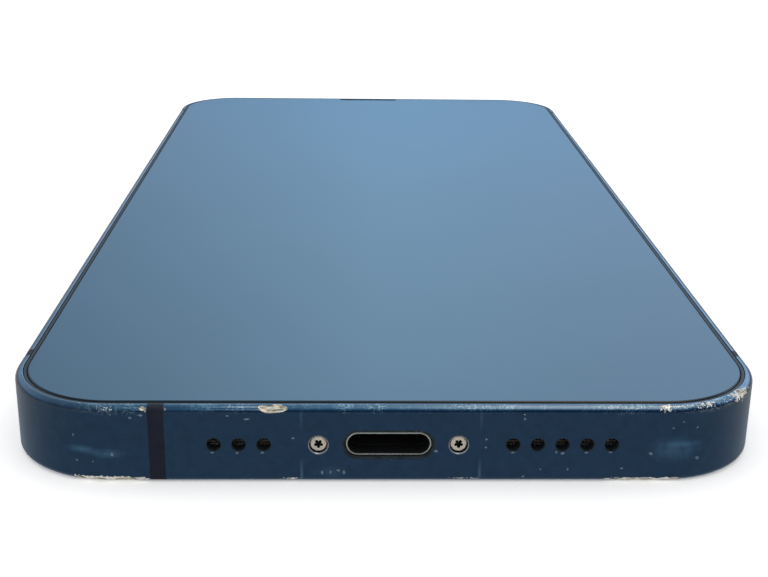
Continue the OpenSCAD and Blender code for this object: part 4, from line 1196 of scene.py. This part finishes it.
elementGlass = coatedGlass()
for which, centre in zip(("main", "wide"), cameras):
    front, steps = lens["front"], lens["domeSteps"]
    profile = [(0, lens["foot"]), (3.82, lens["foot"]), (3.9, lens["foot"] - 0.08)] + lens["rings"]
    for step in range(steps + 1):
        radius = front * (1 - step / steps)
        profile.append((radius, 1.56 + lens["dome"] * (radius / front) ** 2))
    made = piece(spun(profile, centre), "cameraBarrel" + which.title(), (cameraBlack, elementGlass),
                 which + "_lens", "camera_black", "camera_barrel_" + which)
    for face in made.data.polygons:
        spot = face.center / mm
        if math.hypot(spot.x - centre.x, spot.y - centre.y) < front and spot.z < 1.9:
            face.material_index = 1


flash = {
    "ridges": 6,
    "first": 0.35,
    "pitch": 0.34,
    "deep": (0.02, 0.10),      # the crest and the foot of a ridge
}


def flashLens():
    # a round window with fine ridges inside its rim
    low, high = boxOf("flash_window")
    crest, foot = (low.z + deep for deep in flash["deep"])
    profile = [(0, foot)]
    for ridge in range(flash["ridges"]):
        radius = flash["first"] + ridge * flash["pitch"]
        profile += [(radius, foot), (radius + 0.05, crest), (radius + 0.25, foot)]
    profile += [(2.45, crest), (2.64, low.z), (2.70, low.z + 0.06), (2.70, high.z - 0.05), (2.65, high.z),
                (0, high.z)]
    piece(spun(profile, flashMiddle, 72), "flashWindow", (flashPane,), "phone", "flash_glass", "flash_window")


flashLens()

# end screws
screw = {
    "head": 0.75,
    "sink": 0.25,
    "thick": 0.55,
    "shank": 0.5,
    "reach": 5.85,
    "lobes": 5,
    "lobe": (0.125, 0.27),      # radius, and how far out
    "core": 0.20,
    "recess": 0.38,
    "thread": (0.10, 0.24),     # depth and pitch
    "neck": 0.9,                # plain length under the head
}


def screwHead(bm):
    head, sink, thick = screw["head"], screw["sink"], screw["thick"]
    stack(bm, Matrix(), [(0.04, 0, sink), (0.62, 0, sink), (0.69, 0, sink + 0.015), (0.735, 0, sink + 0.05),
                         (head, 0, sink + 0.10), (head, 0, sink + thick - 0.02), (0.72, 0, sink + thick)], 64)
    radius, out = screw["lobe"]
    turns = [math.radians(90 + 360 / screw["lobes"] * lobe) for lobe in range(screw["lobes"])]
    places = [(radius, out * math.cos(turn), out * math.sin(turn)) for turn in turns]
    # the lobes' walls and floors take the painted shade
    for count, (radius, x, y) in enumerate(places + [(screw["core"], 0, 0)]):
        # each recess ends a hair deeper than the last, so no two floors coincide
        deep = sink + screw["recess"] + count * 0.0007
        rings = [(radius + 0.03, 0, -0.2), (radius + 0.03, 0, sink - 0.001), (radius, 0, sink + 0.03),
                 (radius, 0, deep)]
        bm = carve(bm, stacked(Matrix.Translation((x, y, 0)), rings, 24), 1)
    return bm


def screwShank():
    shank, reach = screw["shank"], screw["reach"]
    depth, pitch = screw["thread"]
    deep = screw["sink"] + screw["thick"]
    rings = [(shank, 0, deep - 0.01)]
    deep += screw["neck"]
    while deep < reach - 0.2:
        rings += [(shank - depth, 0, deep), (shank, 0, deep + 0.11)]
        deep += pitch
    return stacked(Matrix(), rings + [(shank - 0.12, 0, reach)], 32)


def endScrews():
    both = bmesh.new()
    for side in (-1, 1):
        for shape in (screwHead(bmesh.new()), screwShank()):
            moved(shape, shape.verts, atEnd(side * openings["screwX"]))
            merge(both, shape)
    piece(both, "endScrews", (screwSteel, paintedShadeRecess), "phone", "screw_steel", "bottom_screws", crease=40)


endScrews()

# socket
socket = {
    "inner": 0.925,
    "outer": 1.175,
    "reach": 2.775,
    "front": 0.25,
    "back": 1.90,
    "pads": 8,
    "pad": (0.2, 0.72),      # half width and pitch
    "padFront": 1.0,
}


def socketLiner():
    inner, outer, reach = socket["inner"], socket["outer"], socket["reach"]
    middle, half = (inner + outer) / 2, (outer - inner) / 2
    lip = socket["front"] + half
    rings = [(outer, reach, socket["back"])]
    for turn in angles(8, 180):
        rings.append((middle + half * math.cos(turn), reach, lip - half * math.sin(turn)))
    rings.append((inner, reach, socket["back"]))
    bm = stacked(atEnd(0), rings, 72, joined=True)
    for face in bm.faces:
        # the bore and the inner part of the rounded lip are painted near black as shade
        spot = face.calc_center_median()
        out = math.hypot(max(0.0, abs(spot.x) - reach), spot.z - midHeight)
        if spot.y > -halfLength + lip or out < middle - half * 0.2:
            face.material_index = 1
    piece(bm, "socketLiner", (linerSteel, paintedShadeRecess), "phone", "liner_steel", "port_liner", crease=50)


def socketContacts():
    # small gilt pads standing in the roof of the socket
    low, high = boxOf("port_contacts")
    wide, pitch = socket["pad"]
    pads = bmesh.new()
    for pad in range(socket["pads"]):
        x = low.x + wide + pad * pitch
        merge(pads, roundedBox(x - wide, x + wide, low.y + socket["padFront"], high.y, low.z, high.z, 0.04))
    piece(pads, "socketContacts", (contactGold,), "phone", "contact_gold", "port_contacts")


socketLiner()
socketContacts()


# woven meshes behind the sound holes
weave = {
    "pitch": 0.155,
    "wire": 0.045,
    "lift": 0.9,      # of a wire's radius
    "sides": 5,
}


def strand(bm, start, along, count, phase):
    # one wire that weaves in and out as it goes along
    pitch, wire = weave["pitch"], weave["wire"]
    section = bmesh.ops.create_circle(bm, segments=weave["sides"], radius=wire)["verts"]
    turn = Vector((0, 0, 1)).rotation_difference(along).to_matrix().to_4x4()
    moved(bm, section, Matrix.Translation(start) @ turn)
    edges = list(set(edge for vert in section for edge in vert.link_edges))
    for step in range(count):
        lift = wire * weave["lift"] * (2 if (step + phase) % 2 else -2)
        edges = extended(bm, edges, along * pitch + Vector((0, 1, 0)) * lift)


def wovenMesh(name, node):
    # strands along the stadium's length, then across it, each as long as it is there
    low, high = boxOf(node)
    middle = (low + high) / 2
    half = (high.z - low.z) / 2
    reach = (high.x - low.x) / 2 - half
    bm = bmesh.new()
    pitch, wire = weave["pitch"], weave["wire"]
    lift = wire * weave["lift"]
    for row in range(int((high.z - low.z) / pitch) - 1):
        height = low.z + (row + 1) * pitch
        drop = abs(height - middle.z)
        length = reach + math.sqrt(max(0.01, (half - wire) ** 2 - drop ** 2))
        count = int(2 * length / pitch)
        y = middle.y + lift * (1 if row % 2 else -1)
        strand(bm, Vector((middle.x - count * pitch / 2, y, height)), Vector((1, 0, 0)), count, row)
    for column in range(int((high.x - low.x) / pitch) - 1):
        x = low.x + (column + 1) * pitch
        beyond = max(0.0, abs(x - middle.x) - reach)
        tall = math.sqrt(max(0.01, (half - wire) ** 2 - beyond ** 2))
        count = int(2 * tall / pitch)
        y = middle.y - lift * (1 if column % 2 else -1)
        strand(bm, Vector((x, y, middle.z - count * pitch / 2)), Vector((0, 0, 1)), count, column + 1)
    piece(bm, name, (meshSteel,), "phone", "mesh_steel", node, crease=80, weighted=False)


wovenMesh("speakerMesh", "speaker_mesh")
wovenMesh("microphoneMesh", "microphone_mesh")
print("end details ready")


# keys, slider and tray
def sideKey(name, label, side):
    # a crowned key with a flange behind the band and a stem on it
    low, high = boxOf(name)
    radius, proud, round_ = keys["radius"], keys["proud"], keys["round"]
    reach = (high.y - low.y) / 2 - keys["flange"] - radius
    wide = radius + keys["flange"]
    rings = [(radius - round_ + round_ * math.sin(turn), reach, -proud + round_ - round_ * math.cos(turn))
             for turn in angles(5)]
    rings += [(radius, reach, 1.0), (radius, reach, 1.02), (wide - 0.04, reach, 1.03), (wide, reach, 1.07),
              (wide, reach, 1.35), (0.70, 0, 1.351), (0.70, 0, 1.68), (0.66, 0, 1.72)]
    bm = stacked(atSide(side, (low.y + high.y) / 2), rings, 64)
    piece(bm, label, (blueMetal,), name, "band_metal", name)


sideKey("power_key", "powerKey", 1)
sideKey("volume_up_key", "volumeUpKey", -1)
sideKey("volume_down_key", "volumeDownKey", -1)


def muteSlider():
    low, high = muteLow, muteHigh
    along, across = slider["inset"]
    cap = roundedBox(low.x, low.x + slider["cap"], low.y + along, high.y - along,
                     low.z + across, high.z - across, 0.14)
    flange = roundedBox(low.x + slider["cap"] - 0.03, high.x, low.y, high.y, low.z, high.z, 0.05)
    bm = carve(cap, flange, 0, "UNION")
    half, deep = slider["groove"]
    for line in (-1, 0, 1):
        # three grip lines across the slider
        y = (low.y + high.y) / 2 + line * slider["grip"]
        groove = roundedBox(low.x - 0.2, low.x + deep, y - half, y + half, low.z + 0.6, high.z - 0.6, 0.02)
        bm = carve(bm, groove)
    piece(bm, "muteSlider", (blueMetal,), "mute_slider", "band_metal", "mute_switch")


muteSlider()


def cardTray():
    radius, round_, lip = tray["radius"], tray["round"], tray["lip"]
    rings = [(radius - round_ + round_ * math.sin(turn), trayReach, round_ - round_ * math.cos(turn))
             for turn in angles(4)]
    rings += [(radius, trayReach, lip), (0.95, trayReach - 0.1, lip + 0.0001), (0.95, trayReach - 0.1, 1.75)]
    face = stacked(atSide(-1, trayY), rings, 64)
    rodY = middleOf("eject_rod").y
    x1 = trayHigh.x
    y0, y1 = rodY + tray["wall"], trayY + tray["boardEnd"]
    half = tray["board"] / 2
    board = roundedBox(trayLow.x + tray["wall"], x1, y0, y1, midHeight - half, midHeight + half, 0.10)
    bm = carve(face, board, 0, "UNION")
    bm = carve(bm, stacked(atSide(-1, rodY), tray["pinHole"], 28))
    middle = (y0 + y1) / 2
    length, width, ledge = tray["card"]
    right = x1 - tray["rail"]
    for inset, floorZ, topZ in ((0, -0.1, 1.5), (ledge, -1.5, 1.4)):
        # the card's well, then the opening under it
        half = width / 2 - inset
        well = roundedBox(right - length + inset, right - inset, middle - half, middle + half,
                          midHeight + floorZ, midHeight + topZ, 0.04)
        bm = carve(bm, well)
    piece(bm, "cardTray", (blueMetal,), "tray", "band_metal", "sim_tray")


cardTray()
print("keys and tray ready")


# vibration motor
def hapticSprings():
    # two folded leaves, each between the motor's case and its moving mass
    node = nodes["haptic_springs"]
    low, high = boxOf("haptic_springs")
    massLow, massHigh = boxOf("haptic_mass")
    middle = middleOf("haptic_springs")
    for side, label, outer, inner in ((-1, "Left", low.x, massLow.x), (1, "Right", high.x, massHigh.x)):
        bm = bmesh.new()
        bm.from_mesh(node.data)
        bmesh.ops.scale(bm, verts=bm.verts, vec=(1 / mm, 1 / mm, 1 / mm))
        other = [vert for vert in bm.verts if (vert.co.x - middle.x) * side < 0]
        bmesh.ops.delete(bm, geom=other, context="VERTS")
        made = toObject(bm, "hapticSpring" + label, (plateSteel,), weighted=False)
        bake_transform(made)
        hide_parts("haptic_springs")


hapticSprings()


# carried-over pieces
finishes = {
    "screw_steel": screwSteel, "liner_steel": linerSteel, "plate_steel": plateSteel,
    "black_plastic": blackPlastic, "black_rubber": blackRubber, "mesh_steel": meshSteel,
    "panel": panelFilm, "flex_film": flexFilm, "contact_gold": contactGold, "battery_wrap": batteryWrap,
    "copper_wire": copper, "magnet_nickel": magnetNickel, "board_laminate": laminate,
    "camera_black": cameraBlack, "band_metal": blueMetal, "antenna_plastic": breakPlastic,
    "rear_glass": backPane, "display_glass": screenPaintedReflection, "camera_glass": lensPane, "flash_glass": flashPane,
}
for name, made in nodes.items():
    made.material_slots[0].material = finishes[slotOf(made)]
print("carried-over pieces finished")
